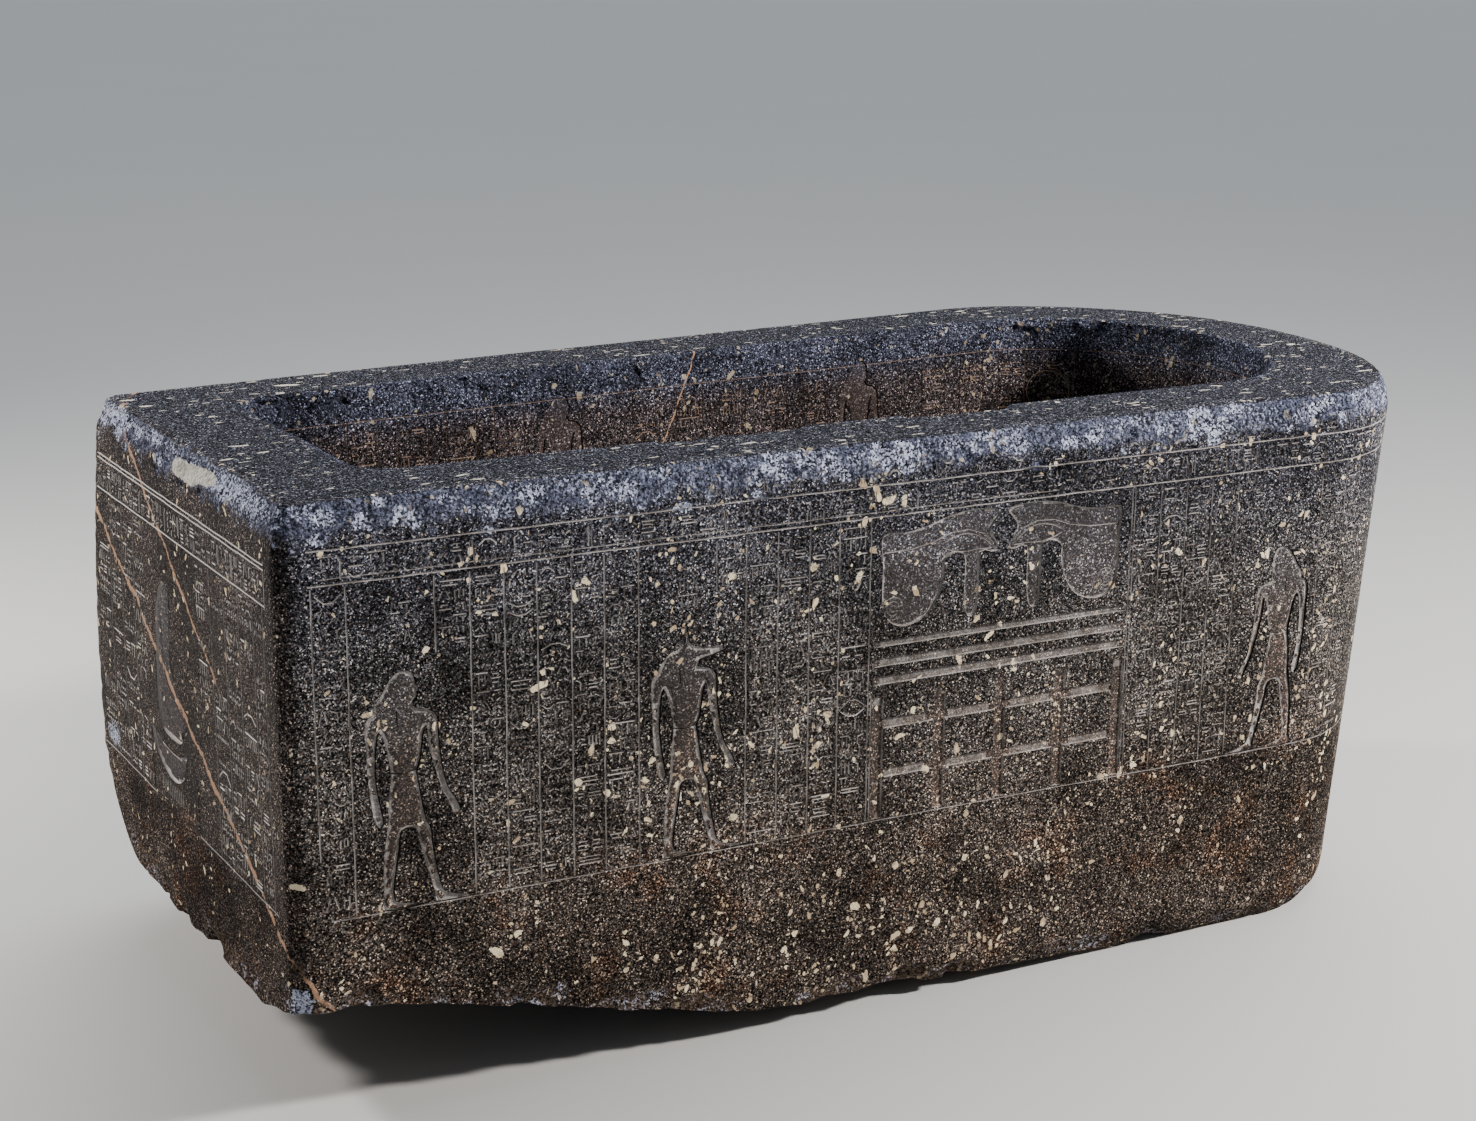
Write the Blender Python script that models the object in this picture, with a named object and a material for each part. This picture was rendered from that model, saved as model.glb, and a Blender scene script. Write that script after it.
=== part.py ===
"""Stone sarcophagus chest: one hollowed block with a flat, narrower foot end and a rounded head end.

Metres, +Z up. The chest rests on Z = 0, +X runs from the foot to the head, and the side that carries
the panel with two eyes faces -Y. Plan coordinates are s, the distance from the foot face along X, and
t, the distance from the centre line, positive towards the back.
"""

import math
import random

import bmesh
import bpy
from mathutils import Matrix, Vector, noise

OBJECT_NAME = "sarcophagus_chest"

# Outer block
LENGTH = 2.74
HEIGHT = 1.17
FOOT_HALF_WIDTH = 0.557
SIDE_SPLAY = math.radians(2.685)  # how far each long side turns outwards from the centre line
FRONT_HEAD_REACH = 0.43  # length of the head curve on the front side
BACK_HEAD_REACH = 0.56  # the same on the back, whose shoulder starts sooner
HEAD_LEAN, LEAN_TOP = 0.100, 1.10  # how far the head end draws in at the underside, and from where
BACK_FLARE = 0.105  # how far the back swells below its top edge, at the foot end
FLARE_TOP, FLARE_DEPTH = 1.14, 0.58
FLARE_FADE = 0.6  # share of the swell that is gone at the head end
FOOT_CORNER_RADIUS = 0.045

# Hollow
FOOT_WALL = 0.246
CAVITY_HALF_WIDTH = 0.345
CAVITY_SPLAY = 0.040  # extra half width for each metre towards the head
CAVITY_APEX = 2.515
CAVITY_HEAD_REACH = 0.35
CAVITY_CORNER_RADIUS = 0.06
CAVITY_FLOOR = 0.36
CAVITY_DRAFT = 0.02
FLOOR_FILLET = 0.06
LIP_ROUND, LIP_DEPTH = 0.016, 0.03

# Carving
BASE_LINE = 0.405
FIGURE_HEIGHT = 0.448
FRONT_FIGURES = ((0.2225, 1), (0.777, 1), (2.176, -1))  # middle of the body, and which way it faces
BACK_FIGURES = (0.46, 1.16, 1.86)
KNEELING_MIDDLE, KNEELING_BOTTOM, KNEELING_HEIGHT = 0.655, 0.541, 0.335
CARVING_DEPTH = 0.007
RAIL_DEPTH = 0.006
CUTTER_PROUD = 0.03  # how far a cutter stands out of the face it cuts

# Panel below the eyes, measured along the front from the foot corner
PANEL_LEFT, PANEL_RIGHT = 1.178, 1.775
STILE_WIDTH, STILE_COUNT = 0.026, 5
STILE_BOTTOM, STILE_TOP = 0.004, 0.258  # this and the bands are heights above the base line
BAR_BANDS = ((0.358, 0.371), (0.318, 0.335), (0.281, 0.298))
RAIL_BANDS = ((0.190, 0.210), (0.088, 0.106))
EYE_CENTRE = 1.4725

# Broken underside at the foot, and the worn edge below the front
UNDERSIDE_RISE = 0.185
RISE_START, RISE_END = 0.98, 0.0
CORNER_BREAK_RISE, CORNER_BREAK_REACH = 0.28, 0.30
BREAK_ROUGHNESS, LUMPS_PER_METRE = 0.016, 7.0
EDGE_WEAR, EDGE_WEAR_REACH = 0.034, 0.16
EDGE_WEAR_START, EDGE_WEAR_END = 2.15, 1.00
CLEAR_BELOW = -0.03  # where nothing is broken away, the cutter stays this far under the bed

# Larger breaks: where, how big, and the way each one runs in plan
BREAKS = (
    ((-0.01, -FOOT_HALF_WIDTH + 0.035, 0.225), 0.065, (0.2, 1.0)),  # lower corner of foot and front
    ((2.33, -0.655, 0.01), 0.065, (1.0, 0.3)),  # lower edge below the front shoulder
    ((1.54, -0.395, HEIGHT + 0.022), 0.075, (1.0, 0.0)),  # scallop in the lip of the hollow
)

SIDE_STEPS, HEAD_STEPS, CORNER_STEPS = 6, 14, 4

# Heights of the block's outlines, and how far each is drawn in where an edge is blunt or worn round
BLOCK_LEVELS = {
    0.0: 0.030, 0.028: 0.008, 0.07: 0.0, 0.34: 0.0, FLARE_TOP - FLARE_DEPTH: 0.0,
    0.74: 0.0, 0.92: 0.0, LEAN_TOP: 0.0, 1.145: 0.004, 1.163: 0.013, HEIGHT: 0.032,
}


def head_centre_and_half_width(apex, reach, foot_half_width, slope):
    """Centre and half width of the half ellipse that meets a side of this slope without a kink."""
    centre = apex - reach
    half_width = math.sqrt((foot_half_width + centre * slope) ** 2 - (reach * slope) ** 2)
    return centre, half_width


def head_curve(apex, reach, foot_half_width, slope, side, steps):
    """Points from the shoulder on one side (-1 front, +1 back) up to, and without, the apex."""
    centre, half_width = head_centre_and_half_width(apex, reach, foot_half_width, slope)
    start = math.pi / 2 + math.atan(reach / half_width * slope)
    angles = [start * (1 - i / steps) for i in range(steps)]
    return [(centre + reach * math.cos(a), side * half_width * math.sin(a)) for a in angles]


def corner_arc(corner, before, after, radius, steps):
    """A fillet at corner, between the unit directions it is reached by and left by."""
    before, after, corner = Vector(before), Vector(after), Vector(corner)
    turn = before.angle(after)
    setback = radius * math.tan(turn / 2)
    start = corner - before * setback
    inward = Vector((-before.y, before.x))
    if inward.dot(after) < 0:
        inward = -inward
    centre = start + inward * radius
    sign = 1 if before.x * after.y - before.y * after.x > 0 else -1
    spokes = (Matrix.Rotation(sign * turn * i / steps, 2) @ (start - centre) for i in range(steps + 1))
    return [tuple(centre + spoke) for spoke in spokes]


def shoulder_points(corner, shoulder, steps):
    """Points strictly between a foot corner and a shoulder."""
    return [
        (
            corner[0] + (shoulder[0] - corner[0]) * i / steps,
            corner[1] + (shoulder[1] - corner[1]) * i / steps,
        )
        for i in range(1, steps)
    ]


def plan(foot_s, foot_half_width, slope, apex, reaches, corner_radius, side_steps):
    """Closed outline, anticlockwise from above: foot, front side, head curve, back side."""
    half = foot_half_width + foot_s * slope
    along = Vector((1.0, -slope)).normalized()
    back_along = Vector((-1.0, -slope)).normalized()
    front_corner = corner_arc((foot_s, -half), (0.0, -1.0), along, corner_radius, CORNER_STEPS)
    back_corner = corner_arc((foot_s, half), back_along, (0.0, -1.0), corner_radius, CORNER_STEPS)
    front_head = head_curve(apex, reaches[0], foot_half_width, slope, -1, HEAD_STEPS)
    back_head = head_curve(apex, reaches[1], foot_half_width, slope, 1, HEAD_STEPS)[::-1]
    points = list(front_corner)
    points += shoulder_points(front_corner[-1], front_head[0], side_steps)
    points += front_head + [(apex, 0.0)] + back_head
    points += shoulder_points(back_head[-1], back_corner[0], side_steps)
    return points + list(back_corner)


def inset_plan(points, distance):
    """The outline moved inwards by distance along its own normals."""
    count = len(points)
    moved = []
    for i, (s, t) in enumerate(points):
        before, after = points[i - 1], points[(i + 1) % count]
        tangent = Vector((after[0] - before[0], after[1] - before[1])).normalized()
        moved.append((s - tangent.y * distance, t + tangent.x * distance))
    return moved


def back_swell(s, t, z):
    """How far the back stands out beyond its top edge: most at mid height and at the foot."""
    depth = min(1.0, max(0.0, (FLARE_TOP - z) / FLARE_DEPTH))
    share = min(1.0, max(0.0, t / FOOT_HALF_WIDTH))
    return BACK_FLARE * (1 - FLARE_FADE * s / LENGTH) * math.sin(depth * math.pi / 2) * share


def outer_plan(z, inset=0.0):
    apex = LENGTH - HEAD_LEAN * max(0.0, 1 - z / LEAN_TOP)
    reaches = (FRONT_HEAD_REACH, BACK_HEAD_REACH)
    points = plan(
        0.0, FOOT_HALF_WIDTH, math.tan(SIDE_SPLAY), apex, reaches, FOOT_CORNER_RADIUS, SIDE_STEPS
    )
    points = [(s, t + back_swell(s, t, z)) for s, t in points]
    return inset_plan(points, inset)


def cavity_plan(inset=0.0):
    reaches = (CAVITY_HEAD_REACH, CAVITY_HEAD_REACH)
    points = plan(
        FOOT_WALL, CAVITY_HALF_WIDTH, CAVITY_SPLAY, CAVITY_APEX, reaches, CAVITY_CORNER_RADIUS, 2
    )
    return inset_plan(points, inset)


def centre_shift():
    """The Y shift that puts the middle of the block's width on Y = 0."""
    across = [t for z in BLOCK_LEVELS for _, t in outer_plan(z, BLOCK_LEVELS[z])]
    return -(min(across) + max(across)) / 2


SHIFT_Y = centre_shift()


def place(s, t, z):
    return Vector((s - LENGTH / 2, t + SHIFT_Y, z))


def new_object(name, bm, collection):
    mesh = bpy.data.meshes.new(name)
    bm.to_mesh(mesh)
    bm.free()
    obj = bpy.data.objects.new(name, mesh)
    collection.objects.link(obj)
    return obj


def loft(bm, rings):
    """A closed solid through rings of points, listed from the lowest up."""
    layers = [[bm.verts.new(point) for point in ring] for ring in rings]
    for lower, upper in zip(layers, layers[1:]):
        for i, vertex in enumerate(lower):
            j = (i + 1) % len(lower)
            bm.faces.new((vertex, lower[j], upper[j], upper[i]))
    bm.faces.new(layers[0][::-1])
    bm.faces.new(layers[-1])


def block_mesh():
    """The outer block: the underside's edge is blunted, and the rim's edge is worn round."""
    bm = bmesh.new()
    loft(bm, [[place(s, t, z) for s, t in outer_plan(z, inset)] for z, inset in BLOCK_LEVELS.items()])
    return bm


def cavity_mesh():
    """The hollow: draft on its walls, a fillet round its floor and a rounded lip at the rim."""
    flare_out = 0.01
    levels = [(HEIGHT + CUTTER_PROUD, -LIP_ROUND - flare_out), (HEIGHT - 0.004, -LIP_ROUND)]
    levels += [(HEIGHT - LIP_DEPTH, 0.0), (CAVITY_FLOOR + FLOOR_FILLET, CAVITY_DRAFT)]
    fillet_steps = 3
    for step in range(1, fillet_steps + 1):
        angle = step / fillet_steps * math.pi / 2
        drop = FLOOR_FILLET * math.sin(angle)
        pull = FLOOR_FILLET * (1 - math.cos(angle))
        levels.append((CAVITY_FLOOR + FLOOR_FILLET - drop, CAVITY_DRAFT + pull))
    bm = bmesh.new()
    loft(bm, [[place(s, t, z) for s, t in cavity_plan(inset)] for z, inset in levels[::-1]])
    return bm


def ease(value):
    value = min(1.0, max(0.0, value))
    return value * value * (3 - 2 * value)


def underside_height(s, t):
    """Height of the broken underside; below zero where the chest rests on its flat bed."""
    rise = UNDERSIDE_RISE * ease((RISE_START - s) / (RISE_START - RISE_END))
    to_corner = math.hypot(s, t - (FOOT_HALF_WIDTH + BACK_FLARE))
    rise += CORNER_BREAK_RISE * max(0.0, 1 - to_corner / CORNER_BREAK_REACH) ** 2
    from_front = t + FOOT_HALF_WIDTH + s * math.tan(SIDE_SPLAY)
    worn = ease((EDGE_WEAR_START - s) / (EDGE_WEAR_START - EDGE_WEAR_END))
    rise += EDGE_WEAR * worn * max(0.0, 1 - from_front / EDGE_WEAR_REACH)
    ragged = BREAK_ROUGHNESS * noise.noise(Vector((s, t, 0.3)) * LUMPS_PER_METRE)
    return rise + ragged * ease(rise / 0.05) + CLEAR_BELOW * (1 - ease(rise / 0.012))


def underside_mesh():
    """Rough ground that takes the broken stone away from under the foot."""
    low, step, columns, rows = -0.3, 0.085, 28, 18
    bm = bmesh.new()
    bmesh.ops.create_grid(bm, x_segments=columns, y_segments=rows, size=0.5)
    for vertex in bm.verts:
        s = (vertex.co.x + 0.5) * columns * step - 0.1
        t = vertex.co.y * rows * step
        vertex.co = place(s, t, underside_height(s, t))
    top = list(bm.faces)
    bottom = bmesh.ops.extrude_face_region(bm, geom=top)
    for vertex in (g for g in bottom["geom"] if isinstance(g, bmesh.types.BMVert)):
        vertex.co.z = low
    bmesh.ops.recalc_face_normals(bm, faces=list(bm.faces))
    return bm


def front_point(u, z, out):
    """A point on the front, u along it from the foot corner, standing out of it by out."""
    along = (math.cos(SIDE_SPLAY), -math.sin(SIDE_SPLAY))
    away = (-math.sin(SIDE_SPLAY), -math.cos(SIDE_SPLAY))
    return place(u * along[0] + out * away[0], u * along[1] + out * away[1] - FOOT_HALF_WIDTH, z)


def back_point(u, z, out):
    """The same on the swelling back, u along it from the foot corner."""
    s = u * math.cos(SIDE_SPLAY)
    half = FOOT_HALF_WIDTH + s * math.tan(SIDE_SPLAY)
    return place(s, half + back_swell(s, half, z) + out, z)


def foot_point(u, z, out):
    """A point on the foot face, u across it from the front corner."""
    return place(-out, u - FOOT_HALF_WIDTH, z)


def recess(bm, outline, face_point, depth):
    """Adds a cutter whose flat floor lies depth below the face, with the outline's shape."""
    flat = bmesh.new()
    corners = [flat.verts.new((u, z, 0.0)) for u, z in outline]
    flat.faces.new(corners)
    bmesh.ops.triangulate(flat, faces=list(flat.faces), ngon_method="EAR_CLIP")
    flat.verts.index_update()
    triangles = [[v.index for v in face.verts] for face in flat.faces]
    flat.free()
    floor = [bm.verts.new(face_point(u, z, -depth)) for u, z in outline]
    proud = [bm.verts.new(face_point(u, z, CUTTER_PROUD)) for u, z in outline]
    made = [bm.faces.new([proud[i] for i in ring]) for ring in triangles]
    made += [bm.faces.new([floor[i] for i in reversed(ring)]) for ring in triangles]
    count = len(outline)
    for i in range(count):
        j = (i + 1) % count
        made.append(bm.faces.new((proud[j], proud[i], floor[i], floor[j])))
    bmesh.ops.recalc_face_normals(bm, faces=made)


def rectangle(left, right, bottom, top):
    """A rectangle between two distances along a face and two heights above the base line."""
    low, high = BASE_LINE + bottom, BASE_LINE + top
    return [(left, low), (right, low), (right, high), (left, high)]


# A striding figure that faces right, in shares of its own height: x from the middle of the body, z
# from the soles. The outline is listed clockwise and starts at the front shoulder, so that a head of
# either kind can be put before it.
STRIDING_BODY = (
    (0.055, 0.835), (0.105, 0.822), (0.138, 0.790), (0.143, 0.700), (0.156, 0.575), (0.178, 0.485),
    (0.210, 0.430), (0.228, 0.378), (0.200, 0.366), (0.174, 0.430), (0.150, 0.478), (0.118, 0.590),
    (0.100, 0.670), (0.090, 0.755), (0.076, 0.720), (0.062, 0.620), (0.047, 0.578), (0.053, 0.530),
    (0.066, 0.443), (0.082, 0.364), (0.102, 0.319), (0.104, 0.274), (0.116, 0.184), (0.136, 0.083),
    (0.154, 0.043), (0.205, 0.022), (0.275, 0.010), (0.275, 0.0), (0.122, 0.0), (0.110, 0.030),
    (0.098, 0.083), (0.072, 0.173), (0.051, 0.263), (0.033, 0.330), (-0.021, 0.330), (-0.037, 0.252),
    (-0.053, 0.162), (-0.064, 0.072), (-0.052, 0.034), (0.000, 0.020), (0.062, 0.010), (0.062, 0.0),
    (-0.106, 0.0), (-0.108, 0.060), (-0.107, 0.190), (-0.096, 0.285), (-0.082, 0.360),
    (-0.078, 0.443), (-0.070, 0.521), (-0.064, 0.578), (-0.073, 0.645), (-0.088, 0.712),
    (-0.106, 0.755), (-0.120, 0.690), (-0.125, 0.590), (-0.118, 0.510), (-0.108, 0.443),
    (-0.096, 0.375), (-0.112, 0.353), (-0.136, 0.385), (-0.147, 0.454), (-0.158, 0.555),
    (-0.163, 0.667), (-0.166, 0.775), (-0.156, 0.815), (-0.130, 0.834),
)
WIGGED_HEAD = (
    (-0.138, 0.850), (-0.098, 0.903), (-0.062, 0.962), (-0.030, 0.992), (0.005, 1.0), (0.038, 0.985),
    (0.050, 0.955), (0.054, 0.925), (0.066, 0.905), (0.055, 0.888), (0.053, 0.865), (0.037, 0.850),
)
JACKAL_HEAD = (
    (-0.128, 0.855), (-0.085, 0.905), (-0.030, 0.928), (-0.018, 0.975), (-0.006, 1.030),
    (0.008, 0.985), (0.020, 0.938), (0.060, 0.922), (0.112, 0.915), (0.170, 0.912), (0.178, 0.893),
    (0.120, 0.875), (0.062, 0.862),
)

# The kneeling figure of the foot end, in shares of its own height, on a bowl with a fringe.
KNEELING_FIGURE = (
    (-0.100, 0.060), (-0.165, 0.175), (-0.180, 0.300), (-0.168, 0.560), (-0.150, 0.780),
    (-0.110, 0.900), (-0.060, 0.975), (0.020, 1.0), (0.075, 0.965), (0.085, 0.915), (0.105, 0.890),
    (0.080, 0.850), (0.085, 0.800), (0.070, 0.640), (0.075, 0.490), (0.150, 0.380), (0.260, 0.270),
    (0.300, 0.200), (0.235, 0.135), (0.150, 0.060),
)
BOWL = (
    (-0.300, 0.020), (-0.280, -0.060), (-0.190, -0.150), (-0.070, -0.205), (0.060, -0.215),
    (0.170, -0.165), (0.240, -0.080), (0.255, 0.010), (0.100, -0.035), (-0.120, -0.030),
)


def figure_outline(head, middle, facing):
    """A striding figure on the base line; facing is +1 to the right and -1 to the left."""
    points = head + STRIDING_BODY
    return [(middle + facing * x * FIGURE_HEIGHT, BASE_LINE + z * FIGURE_HEIGHT) for x, z in points]


def eye_outline(side):
    """A protective eye, as one shape: brow, almond, drop bar and cheek. Side -1 is the left one.

    Points are distances from the line between the eyes and heights above the base line.
    """
    brow = [(-0.005, 0.602), (-0.025, 0.609), (-0.075, 0.611), (-0.125, 0.606), (-0.175, 0.590)]
    brow += [(-0.225, 0.582), (-0.277, 0.580)]
    cheek_centre, cheek_reach = (-0.215, 0.448), (0.062, 0.050)
    cheek = [(-0.277, 0.448)]
    for step in range(1, 8):
        angle = math.pi + step * math.pi / 8
        cheek.append(
            (
                cheek_centre[0] + cheek_reach[0] * math.cos(angle),
                cheek_centre[1] + cheek_reach[1] * math.sin(angle),
            )
        )
    cheek += [(-0.146, 0.456), (-0.134, 0.524)]
    lid = [(-0.092, 0.526), (-0.089, 0.446), (-0.086, 0.404), (-0.074, 0.395), (-0.062, 0.404)]
    lid += [(-0.056, 0.446), (-0.055, 0.524), (-0.012, 0.522)]
    return [(EYE_CENTRE - side * x, BASE_LINE + z) for x, z in brow + cheek + lid]


def stile_lefts():
    pitch = (PANEL_RIGHT - PANEL_LEFT - STILE_WIDTH) / (STILE_COUNT - 1)
    return [PANEL_LEFT + i * pitch for i in range(STILE_COUNT)]


def carving_mesh():
    """Figures, eyes, bars and stiles, all sunk to the same depth."""
    bm = bmesh.new()
    heads = (WIGGED_HEAD, JACKAL_HEAD, WIGGED_HEAD)
    front = [figure_outline(head, *spot) for head, spot in zip(heads, FRONT_FIGURES)]
    front += [eye_outline(-1), eye_outline(1)]
    front += [rectangle(PANEL_LEFT, PANEL_RIGHT, *band) for band in BAR_BANDS]
    front += [rectangle(left, left + STILE_WIDTH, STILE_BOTTOM, STILE_TOP) for left in stile_lefts()]
    for outline in front:
        recess(bm, outline, front_point, CARVING_DEPTH)
    for points in (KNEELING_FIGURE, BOWL):
        outline = [
            (KNEELING_MIDDLE - x * KNEELING_HEIGHT, KNEELING_BOTTOM + z * KNEELING_HEIGHT)
            for x, z in points
        ]
        recess(bm, outline, foot_point, CARVING_DEPTH)
    for middle, head in zip(BACK_FIGURES, (WIGGED_HEAD, JACKAL_HEAD, WIGGED_HEAD)):
        recess(bm, figure_outline(head, middle, 1), back_point, CARVING_DEPTH)
    return bm


def rail_mesh():
    """The two rails that cross the stiles. They end inside the outer stiles."""
    bm = bmesh.new()
    for band in RAIL_BANDS:
        ends = (PANEL_LEFT + STILE_WIDTH / 2, PANEL_RIGHT - STILE_WIDTH / 2)
        recess(bm, rectangle(*ends, *band), front_point, RAIL_DEPTH)
    return bm


def add_chip(bm, point, size, stretch_dir, generator):
    """One flake: a rough faceted lump, longest along the edge that it breaks."""
    made = bmesh.ops.create_icosphere(bm, subdivisions=1, radius=1.0)["verts"]
    spin = Matrix.Rotation(math.atan2(stretch_dir[1], stretch_dir[0]), 4, "Z")
    scale = Matrix.Diagonal((size * generator.uniform(1.2, 1.9), size, size * 0.8, 1.0))
    for vertex in made:
        rough = vertex.co * generator.uniform(0.82, 1.15)
        vertex.co = point + (spin @ scale @ rough)


def edge_chips(bm, outline, z, spacing, sizes, keep, generator):
    """Flakes along an edge at uneven distances, where keep says that the edge is struck."""
    travelled, due = 0.0, spacing * 0.5
    count = len(outline)
    for i in range(count):
        start, end = Vector(outline[i]), Vector(outline[(i + 1) % count])
        run = (end - start).length
        while run > 0 and due <= travelled + run:
            spot = start.lerp(end, (due - travelled) / run)
            if keep(*spot):
                size = generator.uniform(*sizes)
                lift = generator.uniform(0.25, 0.6) * size
                add_chip(bm, place(spot[0], spot[1], z + lift), size, (end - start) / run, generator)
            due += spacing * generator.uniform(0.9, 1.3)
        travelled += run


def chip_mesh():
    """Flakes off the rim's outer and inner edges."""
    generator = random.Random(7)
    bm = bmesh.new()
    rim = outer_plan(HEIGHT, 0.005)
    edge_chips(bm, rim, HEIGHT, 0.155, (0.026, 0.042), lambda s, t: True, generator)
    lip = cavity_plan(0.0)
    edge_chips(bm, lip, HEIGHT, 0.21, (0.020, 0.032), lambda s, t: s < 2.3, generator)
    return bm


def break_mesh():
    """The larger breaks, which may run into the flakes."""
    generator = random.Random(11)
    bm = bmesh.new()
    for spot, size, direction in BREAKS:
        add_chip(bm, place(*spot), size, direction, generator)
    return bm


def stone_material():
    material = bpy.data.materials.new("dark_speckled_stone")
    material.use_nodes = True
    shader = material.node_tree.nodes["Principled BSDF"]
    shader.inputs["Base Color"].default_value = (0.045, 0.042, 0.043, 1.0)
    shader.inputs["Roughness"].default_value = 0.62
    shader.inputs["Metallic"].default_value = 0.0
    return material


def cut(chest, cutter):
    cutter.hide_render = True
    cutter.display_type = "WIRE"
    modifier = chest.modifiers.new(cutter.name, "BOOLEAN")
    modifier.operation = "DIFFERENCE"
    modifier.solver = "EXACT"
    modifier.object = cutter


def clear_scene():
    for obj in list(bpy.data.objects):
        bpy.data.objects.remove(obj, do_unlink=True)


def new_collection(name):
    collection = bpy.data.collections.new(name)
    bpy.context.scene.collection.children.link(collection)
    return collection


def build():
    clear_scene()
    parts = new_collection("stone_sarcophagus")
    cutters = new_collection("cutters")
    chest = new_object(OBJECT_NAME, block_mesh(), parts)
    chest.data.materials.append(stone_material())
    meshes = {
        "cavity_cutter": cavity_mesh, "underside_cutter": underside_mesh,
        "carving_cutter": carving_mesh, "rail_cutter": rail_mesh, "chip_cutter": chip_mesh,
        "break_cutter": break_mesh,
    }
    for name, make in meshes.items():
        cut(chest, new_object(name, make(), cutters))


build()
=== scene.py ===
"""Looks of a stone sarcophagus chest: one hollowed block of dark speckled stone, carved all round.

The chest is one closed mesh that stands for its CAD solid. Each face of the block is first laid flat as a
sheet, in metres along the face and up it. Chisel cuts and sunk fields are drawn on the sheet, the sheet is
netted into triangles, and the net is bent onto the block. Then the stone is weathered: its faces ripple and
flakes are struck from its edges.
"""

import logging
import math
import random
from collections.abc import Callable, Iterator
from dataclasses import dataclass, field
from enum import Enum
from itertools import pairwise

import bpy
import numpy as np
from mathutils import Matrix, Vector, noise
from mathutils.geometry import delaunay_2d_cdt


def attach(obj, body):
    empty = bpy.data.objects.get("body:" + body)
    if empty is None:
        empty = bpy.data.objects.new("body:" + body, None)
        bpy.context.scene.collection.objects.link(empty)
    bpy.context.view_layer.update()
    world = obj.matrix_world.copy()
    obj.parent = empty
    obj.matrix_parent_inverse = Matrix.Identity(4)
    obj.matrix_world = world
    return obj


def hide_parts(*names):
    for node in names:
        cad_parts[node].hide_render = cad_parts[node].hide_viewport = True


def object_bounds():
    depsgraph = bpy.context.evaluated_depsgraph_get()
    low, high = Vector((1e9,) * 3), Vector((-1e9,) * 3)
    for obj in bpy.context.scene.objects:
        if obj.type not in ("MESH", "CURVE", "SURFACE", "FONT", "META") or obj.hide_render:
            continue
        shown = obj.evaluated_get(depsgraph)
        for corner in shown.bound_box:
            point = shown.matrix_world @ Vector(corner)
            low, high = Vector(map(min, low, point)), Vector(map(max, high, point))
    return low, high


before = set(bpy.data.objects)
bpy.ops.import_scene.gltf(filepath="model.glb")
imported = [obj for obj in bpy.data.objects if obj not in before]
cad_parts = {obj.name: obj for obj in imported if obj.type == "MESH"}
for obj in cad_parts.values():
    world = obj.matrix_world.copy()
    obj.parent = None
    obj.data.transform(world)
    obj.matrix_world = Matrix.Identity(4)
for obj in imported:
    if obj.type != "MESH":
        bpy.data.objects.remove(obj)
CAD_LOW, CAD_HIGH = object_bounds()

LOG = logging.getLogger("sarcophagus")
NODE = "sarcophagus_chest"

Pair = tuple[float, float]
Spot = tuple[float, float, float]
Colour = tuple[float, float, float]
Steps = tuple[float, float, float, float]
Path = list[Pair]


class Part(Enum):
    """Which face of the block a point lies on."""

    SIDE = 0
    RIM = 1
    HOLLOW = 2
    FLOOR = 3
    BED = 4


# ------------------------------------------------------------------------------------------------ the block


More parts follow.
